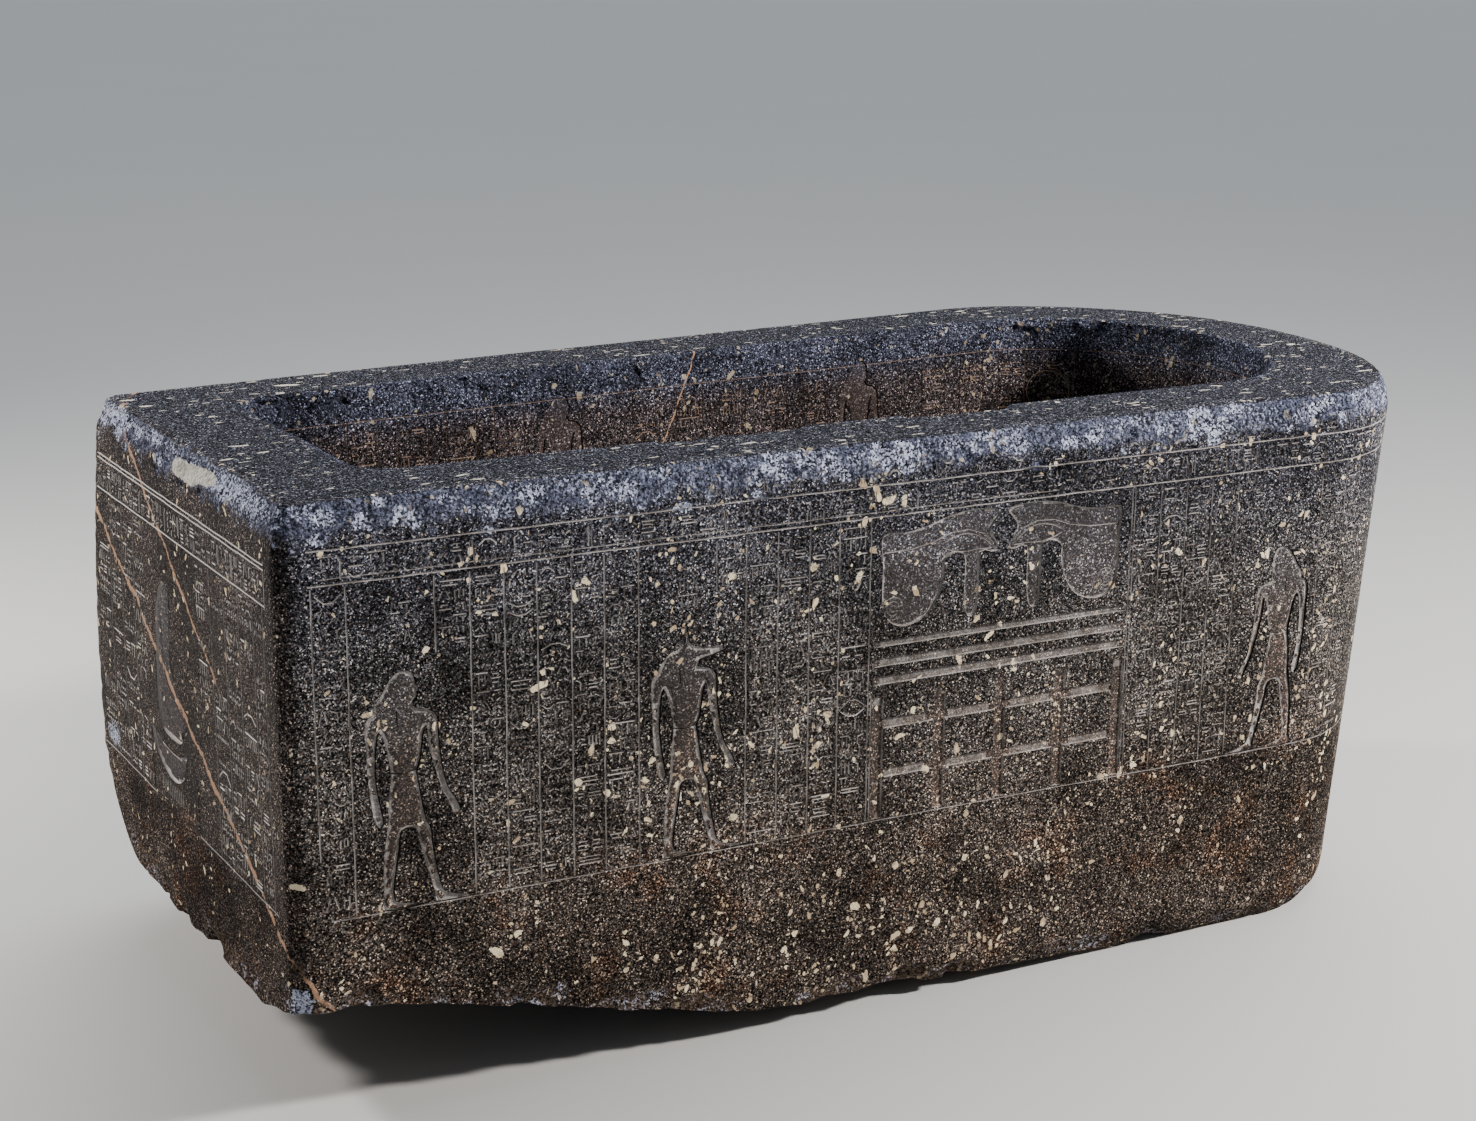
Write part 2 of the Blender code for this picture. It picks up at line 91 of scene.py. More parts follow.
@dataclass(frozen=True)
class PlanOutline:
    """A closed outline in plan: a flat foot, two sides that splay, and a head of two quarter ellipses.

    Distance along it runs anticlockwise from above: negative across the foot, zero at the front foot
    corner, then along the front, round the head and down the back to the back foot corner.
    """

    foot: float
    half_width: float
    slope: float
    apex: float
    reaches: Pair
    corner_radius: float
    back_radius: float
    flatness: float = 0.0

    @property
    def angle(self) -> float:
        """How far each side turns outwards from the centre line."""
        return math.atan(self.slope)

    @property
    def foot_half(self) -> float:
        """Half the width of the foot."""
        return self.half_width + self.foot * self.slope

    @property
    def half_turn(self) -> float:
        """Tangent of half the angle through which a foot corner turns."""
        return math.tan((math.pi / 2 - self.angle) / 2)

    def head(self, reach: float, lean: np.ndarray) -> tuple[np.ndarray, ...]:
        """The quarter ellipse of one side.

        Args:
            reach: Its length along the centre line.
            lean: How far the apex has drawn in.

        Returns:
            Its centre, its half width, the angle where the side runs into it, and the side's length.
        """
        centre = self.apex - lean - reach
        half = np.sqrt((self.half_width + centre * self.slope) ** 2 - (reach * self.slope) ** 2)
        start = math.pi / 2 + np.arctan(reach / half * self.slope)
        run = (centre + reach * np.cos(start) - self.foot) / math.cos(self.angle)
        return centre, half, start, run

    def side_length(self, which: int) -> float:
        """Distance from a foot corner to the apex: 0 for the front, 1 for the back."""
        reach = self.reaches[which]
        _, _, start, run = self.head(reach, np.zeros(1))
        return float(run[0] + start[0] * reach)

    @property
    def length(self) -> float:
        """Distance from the front foot corner round to the back foot corner."""
        return self.side_length(0) + self.side_length(1)

    def points(self, along: np.ndarray, lean: np.ndarray) -> tuple[np.ndarray, np.ndarray]:
        """Places on the outline.

        Args:
            along: Distances along it.
            lean: How far the apex has drawn in, at each.

        Returns:
            Distance from the foot face, and distance from the centre line, positive at the back.
        """
        across, total = 2 * self.foot_half, self.length
        along = (along + across) % (across + total) - across
        front = along <= self.side_length(0)
        corner = np.where(front, along, total - along)
        heads = [self.head(reach, lean) for reach in self.reaches]
        centre, half, start, run = (np.where(front, a, b) for a, b in zip(*heads))
        reach = np.where(front, *self.reaches)
        whole = np.where(front, self.side_length(0), self.side_length(1))
        turn = start * (1 - np.clip((corner - run) / (whole - run), 0, 1))
        on_head = corner > run
        s = np.where(on_head, centre + reach * np.cos(turn), self.foot + corner * math.cos(self.angle))
        out = np.where(on_head, half * np.sin(turn), self.foot_half + corner * math.sin(self.angle))
        t = np.where(front, -out, out)
        s = np.where(along < 0, self.foot, s)
        t = np.where(along < 0, -self.foot_half - along, t)
        return self.round_corners(along, s, t)

    def round_corners(self, along: np.ndarray, s: np.ndarray, t: np.ndarray) -> tuple[np.ndarray, ...]:
        """Puts the points near a foot corner on its arc.

        Args:
            along: Distances along the outline.
            s: Distances from the foot face.
            t: Distances from the centre line.

        Returns:
            The same two distances, on the arcs where those apply.
        """
        swing = math.pi / 2 - self.angle
        from_back = np.where(along > 0, along - self.length, along + 2 * self.foot_half)
        for side, past, radius in ((-1, along, self.corner_radius), (1, from_back, self.back_radius)):
            setback = radius * self.half_turn
            middle = self.foot_half + setback * math.sin(self.angle) - radius * math.cos(self.angle)
            share = (past + setback) / (2 * setback)
            near = (share >= 0) & (share <= 1)
            turn = math.pi + swing * share if side < 0 else math.pi - swing * (1 - share)
            ends = np.array((math.pi, math.pi - side * swing))
            flat_s = self.foot + radius + radius * np.interp(share, (0, 1), np.cos(ends)[::-side])
            flat_t = side * middle + radius * np.interp(share, (0, 1), np.sin(ends)[::-side])
            s = np.where(near, self.blend(self.foot + radius + radius * np.cos(turn), flat_s), s)
            t = np.where(near, self.blend(side * middle + radius * np.sin(turn), flat_t), t)
        return s, t

    def blend(self, on_arc: np.ndarray, on_chord: np.ndarray) -> np.ndarray:
        """Brings the corner's arc nearer its chord."""
        return on_arc + self.flatness * (on_chord - on_arc)


@dataclass(frozen=True)
class ChestForm:
    """The block and its hollow as smooth forms, in the row frame."""

    length: float = CAD_HIGH.x - CAD_LOW.x
    height: float = CAD_HIGH.z
    half_width: float = 0.557
    splay: float = math.radians(2.685)
    head_reaches: Pair = (0.43, 0.56)
    head_lean: float = 0.100
    lean_top: float = 1.10
    back_flare: float = 0.105
    flare_top: float = 1.14
    flare_depth: float = 0.58
    flare_fade: float = 0.6
    corner_radius: float = 0.025
    back_corner: float = 0.044
    corner_flatness: float = 0.8
    foot_wall: float = 0.246
    hollow_half_width: float = 0.345
    hollow_splay: float = 0.040
    hollow_apex: float = 2.515
    hollow_reach: float = 0.35
    hollow_corner: float = 0.078
    hollow_floor: float = 0.36
    hollow_draft: float = 0.02
    floor_fillet: float = 0.05
    lip_width: float = 0.013
    lip_drop: float = 0.020
    arris_bottom: float = 1.105
    arris_inset: float = 0.032
    arris_fullness: float = 0.80
    foot_blunt: float = 0.030
    blunt_top: float = 0.07
    break_rise: float = 0.190
    break_end: float = 1.12
    corner_rise: float = 0.28
    corner_reach: float = 0.30
    front_rise: float = 0.044
    front_reach: float = 0.18
    sunk_bed: float = 0.03
    base_line: float = 0.405

    @property
    def outer(self) -> PlanOutline:
        """The outside in plan."""
        return PlanOutline(
            0.0, self.half_width, math.tan(self.splay), self.length, self.head_reaches, self.corner_radius,
            self.back_corner, self.corner_flatness,
        )

    @property
    def hollow(self) -> PlanOutline:
        """The hollow in plan, at its lip."""
        reaches = (self.hollow_reach, self.hollow_reach)
        return PlanOutline(
            self.foot_wall, self.hollow_half_width, self.hollow_splay, self.hollow_apex, reaches,
            self.hollow_corner, self.hollow_corner,
        )

    @property
    def shift(self) -> float:
        """What puts the front shoulder, the block's foremost point, on the CAD box."""
        _, half, _, _ = self.outer.head(self.head_reaches[0], np.zeros(1))
        return CAD_LOW.y + float(half[0])

    def swell(self, s: np.ndarray, t: np.ndarray, z: np.ndarray) -> np.ndarray:
        """How far the back stands out beyond its top edge.

        Args:
            s: Distance from the foot face.
            t: Distance from the centre line.
            z: Height.

        Returns:
            The swell at each point.
        """
        depth = np.clip((self.flare_top - z) / self.flare_depth, 0, 1)
        share = np.clip(t / self.half_width, 0, 1)
        fade = 1 - self.flare_fade * s / self.length
        return self.back_flare * fade * np.sin(depth * math.pi / 2) * share

    def outside(self, along: np.ndarray, z: np.ndarray) -> tuple[np.ndarray, np.ndarray]:
        """The outside's plan at a height.

        Args:
            along: Distance round the block.
            z: Height.

        Returns:
            Distance from the foot face, and from the centre line.
        """
        lean = self.head_lean * np.clip(1 - z / self.lean_top, 0, None)
        s, t = self.outer.points(along, lean)
        return s, t + self.swell(s, t, z)

    def ragged_bed(self, s: float, t: float) -> float:
        """Height of the broken underside, or zero where the block rests on its flat bed.

        Args:
            s: Distance from the foot face.
            t: Distance from the centre line.

        Returns:
            The height.
        """
        rise = self.break_rise * ease((self.break_end - s) / self.break_end)
        to_corner = math.hypot(s, t - self.half_width - self.back_flare)
        rise += self.corner_rise * max(0.0, 1 - to_corner / self.corner_reach) ** 2
        from_front = t + self.half_width + s * math.tan(self.splay)
        worn = ease((2.15 - s) / 1.15)
        rise += self.front_rise * worn * max(0.0, 1 - from_front / self.front_reach)
        ragged = 0.013 * noise.noise(Vector((s, t, 0.3)) * 6.0)
        ragged += 0.0035 * noise.noise(Vector((s, t, 1.7)) * 23.0)
        flat = 1 - ease(rise / 0.012)
        return max(0.0, rise + ragged * ease(rise / 0.05) - self.sunk_bed * flat)


def ease(value: float) -> float:
    """A smooth step from 0 to 1."""
    value = min(1.0, max(0.0, value))
    return value * value * (3 - 2 * value)


def soft(values: np.ndarray) -> np.ndarray:
    """A smooth step from 0 to 1, over an array."""
    values = np.clip(values, 0, 1)
    return values * values * (3 - 2 * values)


def lumps(places: np.ndarray, size: float, seed: float = 0.0) -> np.ndarray:
    """Smooth noise between about -1 and 1.

    Args:
        places: Points, a row each.
        size: Width of a lump.
        seed: Which noise.

    Returns:
        The noise at each point.
    """
    shift = Vector((seed, 2.3 * seed, -1.1 * seed))
    scaled = (places / size).tolist()
    return np.array([noise.noise(Vector(place) + shift) for place in scaled])


def rippled(places: np.ndarray, layers: tuple[Spot, ...]) -> np.ndarray:
    """How deep the lumps are at each point, from layers of half a depth, a width and a seed each."""
    return sum(depth * (1 + lumps(places, size, seed)) for depth, size, seed in layers)


FORM = ChestForm()


class Surface:
    """A face of the block that can be laid flat."""

    outward = 1
    part = Part.SIDE

    def place(self, along: np.ndarray, up: np.ndarray) -> np.ndarray:
        """Bends flat points onto the block.

        Args:
            along: Distance along the face.
            up: Distance up it.

        Returns:
            Points in the row frame, a row each.
        """
        raise NotImplementedError

    def normals(self, along: np.ndarray, up: np.ndarray) -> np.ndarray:
        """Which way the stone faces.

        Args:
            along: Distance along the face.
            up: Distance up it.

        Returns:
            Unit vectors out of the stone, a row each.
        """
        step = 1e-3
        across = self.place(along + step, up) - self.place(along - step, up)
        rise = self.place(along, up + step) - self.place(along, up - step)
        normal = np.cross(across, rise) * self.outward
        return normal / np.linalg.norm(normal, axis=1, keepdims=True)


def in_frame(s: np.ndarray, t: np.ndarray, z: np.ndarray) -> np.ndarray:
    """Plan distances and a height as points in the row frame."""
    return np.stack([s + CAD_LOW.x, t + FORM.shift, z], axis=1)


def drawn_in(
    plan: Callable, along: np.ndarray, by: np.ndarray, step: float
) -> tuple[np.ndarray, np.ndarray]:
    """Plan points moved inwards.

    Args:
        plan: Gives s and t at distances along an outline.
        along: Distances along it.
        by: How far to move each point.
        step: How far to each side the outline's direction is taken from; a long step eases sharp corners.

    Returns:
        The moved s and t.
    """
    s, t = plan(along)
    ahead_s, ahead_t = plan(along + step)
    behind_s, behind_t = plan(along - step)
    run_s, run_t = ahead_s - behind_s, ahead_t - behind_t
    size = np.hypot(run_s, run_t)
    return s - by * run_t / size, t + by * run_s / size


class OuterFace(Surface):
    """The block's outside, from its broken foot up to and round the top arris."""

    corner_ease = 0.055

    @property
    def arc(self) -> float:
        """Length of the round of the arris."""
        drop = FORM.height - FORM.arris_bottom
        return math.pi / 2 * math.sqrt((drop**2 + FORM.arris_inset**2) / 2)

    @property
    def top(self) -> float:
        """Distance up the sheet at which it meets the rim."""
        return FORM.arris_bottom + self.arc

    def place(self, along: np.ndarray, up: np.ndarray) -> np.ndarray:
        """Bends flat points round the block.

        Args:
            along: Distance round the block from the front foot corner.
            up: Distance up the face and over the arris.

        Returns:
            Points in the row frame, a row each.
        """
        turn = np.clip((up - FORM.arris_bottom) / self.arc, 0, 1.2) * math.pi / 2
        full = FORM.arris_fullness
        rise = np.where(turn > math.pi / 2, 1.0, np.abs(np.sin(turn)) ** full)
        past = np.cos(turn)
        z = np.minimum(up, FORM.arris_bottom) + (FORM.height - FORM.arris_bottom) * rise
        by = FORM.arris_inset * (1 - np.sign(past) * np.abs(past) ** full)
        by = by + FORM.foot_blunt * np.clip(1 - z / FORM.blunt_top, 0, 1) ** 2.2
        s, t = drawn_in(lambda run: FORM.outside(run, z), along, by, self.corner_ease)
        return in_frame(s, t, z)

    def bottom(self, along: np.ndarray) -> np.ndarray:
        """Height of the face's broken lower edge.

        Args:
            along: Distances round the block.

        Returns:
            Heights.
        """
        up = np.zeros(len(along))
        for _ in range(4):
            places = self.place(along, up)
            s, t = places[:, 0] - CAD_LOW.x, places[:, 1] - FORM.shift
            up = np.array([FORM.ragged_bed(a, b) for a, b in zip(s.tolist(), t.tolist())])
        return up


class HollowFace(Surface):
    """The walls of the hollow, from the fillet at the floor up to and round the lip."""

    outward = -1
    part = Part.HOLLOW
    corner_ease = 1e-3

    @property
    def fillet(self) -> float:
        """Length of the round at the floor."""
        return math.pi / 2 * FORM.floor_fillet

    @property
    def wall(self) -> float:
        """Height of the straight wall."""
        return FORM.height - FORM.lip_drop - FORM.hollow_floor - FORM.floor_fillet

    @property
    def lip(self) -> float:
        """Length of the round at the lip."""
        return math.pi / 2 * math.sqrt((FORM.lip_drop**2 + FORM.lip_width**2) / 2)

    @property
    def top(self) -> float:
        """Distance up the sheet at which it meets the rim."""
        return self.fillet + self.wall + self.lip

    def place(self, along: np.ndarray, up: np.ndarray) -> np.ndarray:
        """Bends flat points round the hollow.

        Args:
            along: Distance round the hollow from its front foot corner.
            up: Distance up its wall from the floor.

        Returns:
            Points in the row frame, a row each.
        """
        foot = np.clip(up / self.fillet, -0.2, 1) * math.pi / 2
        wall = np.clip((up - self.fillet) / self.wall, 0, 1)
        turn = np.clip((up - self.fillet - self.wall) / self.lip, 0, 1.2) * math.pi / 2
        z = FORM.hollow_floor + FORM.floor_fillet * (1 - np.cos(foot)) + self.wall * wall
        z = z + FORM.lip_drop * np.sin(turn)
        by = FORM.floor_fillet * (1 - np.sin(foot)) + FORM.hollow_draft * (1 - wall)
        by = by - FORM.lip_width * (1 - np.cos(turn))
        still = np.zeros(len(along))
        s, t = drawn_in(lambda run: FORM.hollow.points(run, still), along, by, self.corner_ease)
        return in_frame(s, t, z)


class LevelFace(Surface):
    """A flat face, whose sheet is its own plan in the row frame."""

    def __init__(self, height: float, part: Part) -> None:
        """Sets a flat face at a height.

        Args:
            height: Where it lies.
            part: Which face it is.
        """
        self.height = height
        self.part = part

    def place(self, along: np.ndarray, up: np.ndarray) -> np.ndarray:
        """The same points at the face's height."""
        return np.stack([along, up, np.full(len(along), self.height)], axis=1)


class BedFace(Surface):
    """The underside: flat under the head, broken away under the foot."""

    outward = -1
    part = Part.BED

    def place(self, along: np.ndarray, up: np.ndarray) -> np.ndarray:
        """Plan points at the height of the broken stone.

        Args:
            along: X of each point.
            up: Y of each point.

        Returns:
            Points in the row frame, a row each.
        """
        s, t = (along - CAD_LOW.x).tolist(), (up - FORM.shift).tolist()
        heights = np.array([FORM.ragged_bed(a, b) for a, b in zip(s, t)])
        return np.stack([along, up, heights], axis=1)


# ---------------------------------------------------------------------------------------- cuts and fields


def away_from_path(spots: np.ndarray, path: np.ndarray) -> np.ndarray:
    """Distance of each spot from the nearest stretch of a path.

    Args:
        spots: Flat points, a row each.
        path: The path's points, a row each.

    Returns:
        The distances.
    """
    start, run = path[:-1][None], (path[1:] - path[:-1])[None]
    offset = spots[:, None] - start
    share = np.clip((offset * run).sum(-1) / np.maximum((run * run).sum(-1), 1e-14), 0, 1)
    gap = offset - share[..., None] * run
    return np.sqrt((gap * gap).sum(-1).min(1))


def inside_loop(spots: np.ndarray, loop: np.ndarray) -> np.ndarray:
    """Which spots lie inside a closed loop.

    Args:
        spots: Flat points, a row each.
        loop: The loop's corners, a row each.

    Returns:
        True for each spot that does.
    """
    after = np.roll(loop, -1, axis=0)
    x, y = spots[:, :1], spots[:, 1:]
    spans = (loop[:, 1] > y) != (after[:, 1] > y)
    rise = np.where(after[:, 1] == loop[:, 1], 1e-12, after[:, 1] - loop[:, 1])
    left = x < (after[:, 0] - loop[:, 0]) * (y - loop[:, 1]) / rise + loop[:, 0]
    return (spans & left).sum(1) % 2 == 1


def side_steps(path: np.ndarray, closed: bool) -> np.ndarray:
    """Unit vectors square to a path at each of its points.

    Args:
        path: The path's points, a row each.
        closed: Whether it is a ring.

    Returns:
        A row for each point.
    """
    if closed:
        run = np.roll(path, -1, axis=0) - np.roll(path, 1, axis=0)
    else:
        run = np.gradient(path, axis=0)
    run = run / np.maximum(np.linalg.norm(run, axis=1, keepdims=True), 1e-12)
    return np.stack([-run[:, 1], run[:, 0]], axis=1)


@dataclass(frozen=True)
class Cut:
    """A chisel cut of V section along a path."""

    path: tuple[Pair, ...]
    width: float = 0.0036
    depth: float = 0.0018
    closed: bool = False
    pale: float = 1.0

    def spine(self) -> np.ndarray:
        """The bottom line of the cut, drawn back a little from its ends."""
        path = np.array(self.path, float)
        if self.closed:
            return path
        for end, beside in ((0, 1), (-1, -2)):
            run = path[beside] - path[end]
            size = float(np.linalg.norm(run))
            path[end] = path[end] + run / size * min(0.5 * self.width, 0.4 * size)
        return path

    def lay(self, sheet: "Sheet") -> None:
        """Draws the cut's outline and its bottom line.

        Args:
            sheet: The sheet that it lies on.
        """
        path = np.array(self.path, float)
        step = side_steps(path, self.closed) * self.width / 2
        if self.closed:
            for ring in (path - step, path, path + step):
                sheet.draw_line(ring, closed=True)
            return
        sheet.draw_line(np.vstack([path + step, (path - step)[::-1]]), closed=True)
        sheet.draw_line(self.spine())

    def depth_at(self, spots: np.ndarray) -> np.ndarray:
        """Depth of the cut at each spot, zero outside it."""
        spine = self.spine()
        if self.closed:
            spine = np.vstack([spine, spine[:1]])
        return self.depth * np.clip(1 - away_from_path(spots, spine) / (self.width / 2), 0, 1)

    def box(self) -> tuple[np.ndarray, np.ndarray]:
        """Lowest and highest corner of what the cut reaches."""
        path = np.array(self.path)
        return path.min(0) - self.width, path.max(0) + self.width


@dataclass(frozen=True)
class SunkField:
    """A field sunk into the face, with a steep wall and a floor that may swell back towards the face."""

    outline: tuple[Pair, ...]
    depth: float = 0.006
    wall: float = 0.003
    crown: float = 0.0
    crown_reach: float = 0.022
    mesh: float = 0.010
    # pale: how pale the chisel leaves the wall; a negative value gives the wall painted shadow
    pale: float = 0.5
    # edge: strength of a painted highlight along the foot of the wall, standing in for its lit rounded edge
    edge: float = 1.0

    def lay(self, sheet: "Sheet") -> None:
        """Draws the field's outline, the foot of its wall and points on its floor.

        Args:
            sheet: The sheet that it lies on.
        """
        loop = np.array(self.outline)
        sheet.draw_line(loop, closed=True)
        inner = loop + side_steps(loop, True) * self.wall
        if not inside_loop(inner, loop).mean() > 0.5:
            inner = loop - side_steps(loop, True) * self.wall
        fits = inside_loop(inner, loop) & (self.from_wall(inner) > 0.9 * self.wall)
        for index in np.flatnonzero(fits):
            after = (index + 1) % len(inner)
            sheet.draw_line(inner[[index, after]] if fits[after] else inner[[index]])
        low, high = loop.min(0), loop.max(0)
        columns, rows = (np.ceil((high - low) / self.mesh).astype(int) + 1).tolist()
        for row in range(rows):
            for column in range(columns):
                shift = 0.5 * (row % 2)
                sheet.loose.append(low + np.array([column + shift, row]) * self.mesh)
                sheet.loose_room.append(0.0)
        sheet.floors.append((self, len(sheet.loose) - rows * columns, len(sheet.loose)))

    def from_wall(self, spots: np.ndarray) -> np.ndarray:
        """Distance of each spot from the outline."""
        loop = np.array(self.outline)
        return away_from_path(spots, np.vstack([loop, loop[:1]]))

    def depth_at(self, spots: np.ndarray) -> np.ndarray:
        """Depth of the field at each spot, zero outside it."""
        away = self.from_wall(spots)
        floor = self.depth - self.crown * soft((away - self.wall) / self.crown_reach)
        depth = np.where(away < self.wall, self.depth * away / self.wall, floor)
        return np.where(inside_loop(spots, np.array(self.outline)), depth, 0.0)

    def box(self) -> tuple[np.ndarray, np.ndarray]:
        """Lowest and highest corner of the field."""
        loop = np.array(self.outline)
        return loop.min(0), loop.max(0)


Feature = Cut | SunkField


@dataclass
class Net:
    """A sheet's triangles."""

    spots: np.ndarray
    triangles: np.ndarray
    keys: np.ndarray
    cut: np.ndarray
    sunk: np.ndarray
    # edge: a painted highlight along the feet of field walls
    edge: np.ndarray
    paleness_and_painted_shadow: np.ndarray
    in_field: np.ndarray


@dataclass
class Zone:
    """A stretch of a sheet that is netted with loose points at one spacing."""

    left: float
    right: float
    low: float
    high: float
    spacing: float


@dataclass
class Sheet:
    """A face laid flat, with what is carved in it."""

    points: list = field(default_factory=list)
    edges: list = field(default_factory=list)
    keys: dict = field(default_factory=dict)
    features: list = field(default_factory=list)
    loose: list = field(default_factory=list)
    loose_room: list = field(default_factory=list)
    floors: list = field(default_factory=list)
    flat_sliver: float = 1e-5
    line_room: float = 0.0035
    edge_room: float = 0.006
    shake: float = 0.22

    def draw_line(self, path: np.ndarray, closed: bool = False, keys: list[int] | None = None) -> None:
        """Draws a line that the net's edges have to follow.

        Args:
            path: Its points, a row each.
            closed: Whether it ends where it starts.
            keys: Numbers under which other sheets share its points.
        """
        first, count = len(self.points), len(path)
        self.points += [tuple(point) for point in np.asarray(path, float).tolist()]
        self.edges += [(first + i, first + i + 1) for i in range(count - 1)]
        if closed:
            self.edges.append((first + count - 1, first))
        if keys is not None:
            self.keys.update({first + i: key for i, key in enumerate(keys)})

    def carve(self, features: list[Feature]) -> None:
        """Lays cuts and fields on the sheet."""
        for feature in features:
            feature.lay(self)
        self.features += features

    def scatter(self, zone: Zone, generator: random.Random) -> None:
        """Strews loose points over a zone, in offset rows that are shaken a little.

        Args:
            zone: The zone.
            generator: Gives the random numbers.
        """
        rows = max(1, round((zone.high - zone.low) / (zone.spacing * 0.866)))
        columns = max(1, round((zone.right - zone.left) / zone.spacing))
        size = np.array((zone.right - zone.left, zone.high - zone.low))
        for row in range(rows):
            for column in range(columns):
                aside, higher = (generator.uniform(-self.shake, self.shake) for _ in range(2))
                share = ((column + 0.25 + 0.5 * (row % 2) + aside) / columns, (row + 0.5 + higher) / rows)
                self.loose.append(np.array((zone.left, zone.low)) + np.array(share) * size)
                self.loose_room.append(zone.spacing)

    def relief(self, spots: np.ndarray) -> tuple[np.ndarray, np.ndarray]:
        """How deep the carving is.

        Args:
            spots: Flat points, a row each.

        Returns:
            Depth of the cuts and depth of the fields at each spot.
        """
        depths = {Cut: np.zeros(len(spots)), SunkField: np.zeros(len(spots))}
        for feature, near in self.reached(spots):
            depth = depths[type(feature)]
            depth[near] = np.maximum(depth[near], feature.depth_at(spots[near]))
        return depths[Cut], depths[SunkField]

    def reached(self, spots: np.ndarray) -> Iterator[tuple[Feature, np.ndarray]]:
        """Pairs every cut and field with the spots that it may reach.

        Args:
            spots: Flat points, a row each.

        Yields:
            The cut or field, and the numbers of the spots.
        """
        order = np.argsort(spots[:, 0])
        ranked = spots[order, 0]
        for feature in self.features:
            low, high = feature.box()
            first, last = np.searchsorted(ranked, [low[0], high[0]])
            near = order[first:last]
            near = near[(spots[near, 1] >= low[1]) & (spots[near, 1] <= high[1])]
            if len(near):
                yield feature, near

    def shades(self, spots: np.ndarray) -> tuple[np.ndarray, np.ndarray]:
        """How the chisel has changed the stone's look, and which walls take painted shadow.

        Args:
            spots: Flat points, a row each.

        Returns:
            How pale it has left each spot, negative where a field's wall takes painted shadow, and whether
            the spot lies in a field.
        """
        pale, wall, fields = np.zeros(len(spots)), np.zeros(len(spots)), np.zeros(len(spots))
        for feature, near in self.reached(spots):
            if isinstance(feature, Cut):
                touched = near[feature.depth_at(spots[near]) > 0]
                pale[touched] = np.maximum(pale[touched], feature.pale)
            else:
                inside = near[inside_loop(spots[near], np.array(feature.outline))]
                fields[inside] += 1
                wall[inside[feature.from_wall(spots[inside]) < 0.9 * feature.wall]] = feature.pale
        return np.where((wall != 0) & (fields == 1), wall, pale), np.minimum(fields, 1)

    def wall_foot_highlight(self, spots: np.ndarray) -> np.ndarray:
        """How strong the painted highlight is at each spot along the foot of one field's wall."""
        feet, fields = np.zeros(len(spots)), np.zeros(len(spots))
        for feature, near in self.reached(spots):
            if isinstance(feature, SunkField):
                inside = near[inside_loop(spots[near], np.array(feature.outline))]
                fields[inside] += 1
                away = feature.from_wall(spots[inside]) / feature.wall
                feet[inside[(away > 0.8) & (away < 1.3)]] = feature.edge
        return feet * (fields == 1)

    def free_points(self) -> np.ndarray:
        """The loose points that clear the drawn lines, and lie on the floor of a field or outside all."""
        loose, room = np.array(self.loose), np.array(self.loose_room)
        own = np.zeros(len(loose), bool)
        for feature, first, last in self.floors:
            spots = loose[first:last]
            good = inside_loop(spots, np.array(feature.outline))
            good &= feature.from_wall(spots) > feature.wall + 0.4 * feature.mesh
            own[first:last] = good
        _, sunk = self.relief(loose)
        good = own | ((room > 0) & (sunk <= 0))
        cell = self.line_room
        low = np.min([loose.min(0), np.min(self.points, axis=0)], axis=0) - 2 * cell
        high = np.max([loose.max(0), np.max(self.points, axis=0)], axis=0) + 2 * cell
        taken = np.zeros((np.ceil((high - low) / cell).astype(int) + 1).tolist(), bool)
        spots = ((np.array(self.points) - low) / cell).astype(int)
        taken[spots[:, 0], spots[:, 1]] = True
        for axis in (0, 1):
            taken = taken | np.roll(taken, 1, axis) | np.roll(taken, -1, axis)
        spots = ((loose - low) / cell).astype(int)
        good &= ~taken[spots[:, 0], spots[:, 1]]
        return loose[good]

    def net(self, keep: Callable) -> Net:
        """Joins all points into triangles.

        Args:
            keep: Tells for flat points, and a clearance, whether each lies on the face that far from
                its edge.

        Returns:
            The net.
        """
        free = self.free_points()
        points = self.points + [tuple(spot) for spot in free[keep(free, self.edge_room)].tolist()]
        made = delaunay_2d_cdt([Vector(p) for p in points], self.edges, [], 0, 1e-6)
        spots = np.array([tuple(v) for v in made[0]], float)
        triangles = np.array(made[2], int)
        keys = np.full(len(spots), -1)
        for index, origin in enumerate(made[3]):
            named = [self.keys[i] for i in origin if i in self.keys]
            if named:
                keys[index] = named[0]
        corners = spots[triangles]
        one, two = corners[:, 1] - corners[:, 0], corners[:, 2] - corners[:, 0]
        area = one[:, 0] * two[:, 1] - one[:, 1] * two[:, 0]
        triangles = np.where((area < 0)[:, None], triangles[:, ::-1], triangles)
        middles = corners.mean(1)
        longest = np.linalg.norm(corners - np.roll(corners, 1, axis=1), axis=2).max(1)
        outside_edge = (keys[triangles] >= 0).all(1) & (np.abs(area) < longest * self.flat_sliver)
        good = keep(middles, 0.0) & (np.abs(area) > 1e-12) & ~outside_edge
        triangles, middles = triangles[good], middles[good]
        cut, sunk = self.relief(spots)
        cut[keys >= 0] = 0
        return Net(spots, triangles, keys, cut, sunk, self.wall_foot_highlight(spots), *self.shades(middles))


def divided(path: Path, step: float, closed: bool = False) -> Path:
    """Puts a point at least every step along a path.

    Args:
        path: Its corners.
        step: The greatest distance between two points.
        closed: Whether it ends where it starts.

    Returns:
        The same path with more points.
    """
    corners = list(path) + ([path[0]] if closed else [])
    made: Path = []
    for start, end in zip(corners, corners[1:]):
        count = max(1, math.ceil(math.dist(start, end) / step))
        made += [
            (start[0] + (end[0] - start[0]) * i / count, start[1] + (end[1] - start[1]) * i / count)
            for i in range(count)
        ]
    return made if closed else made + [corners[-1]]


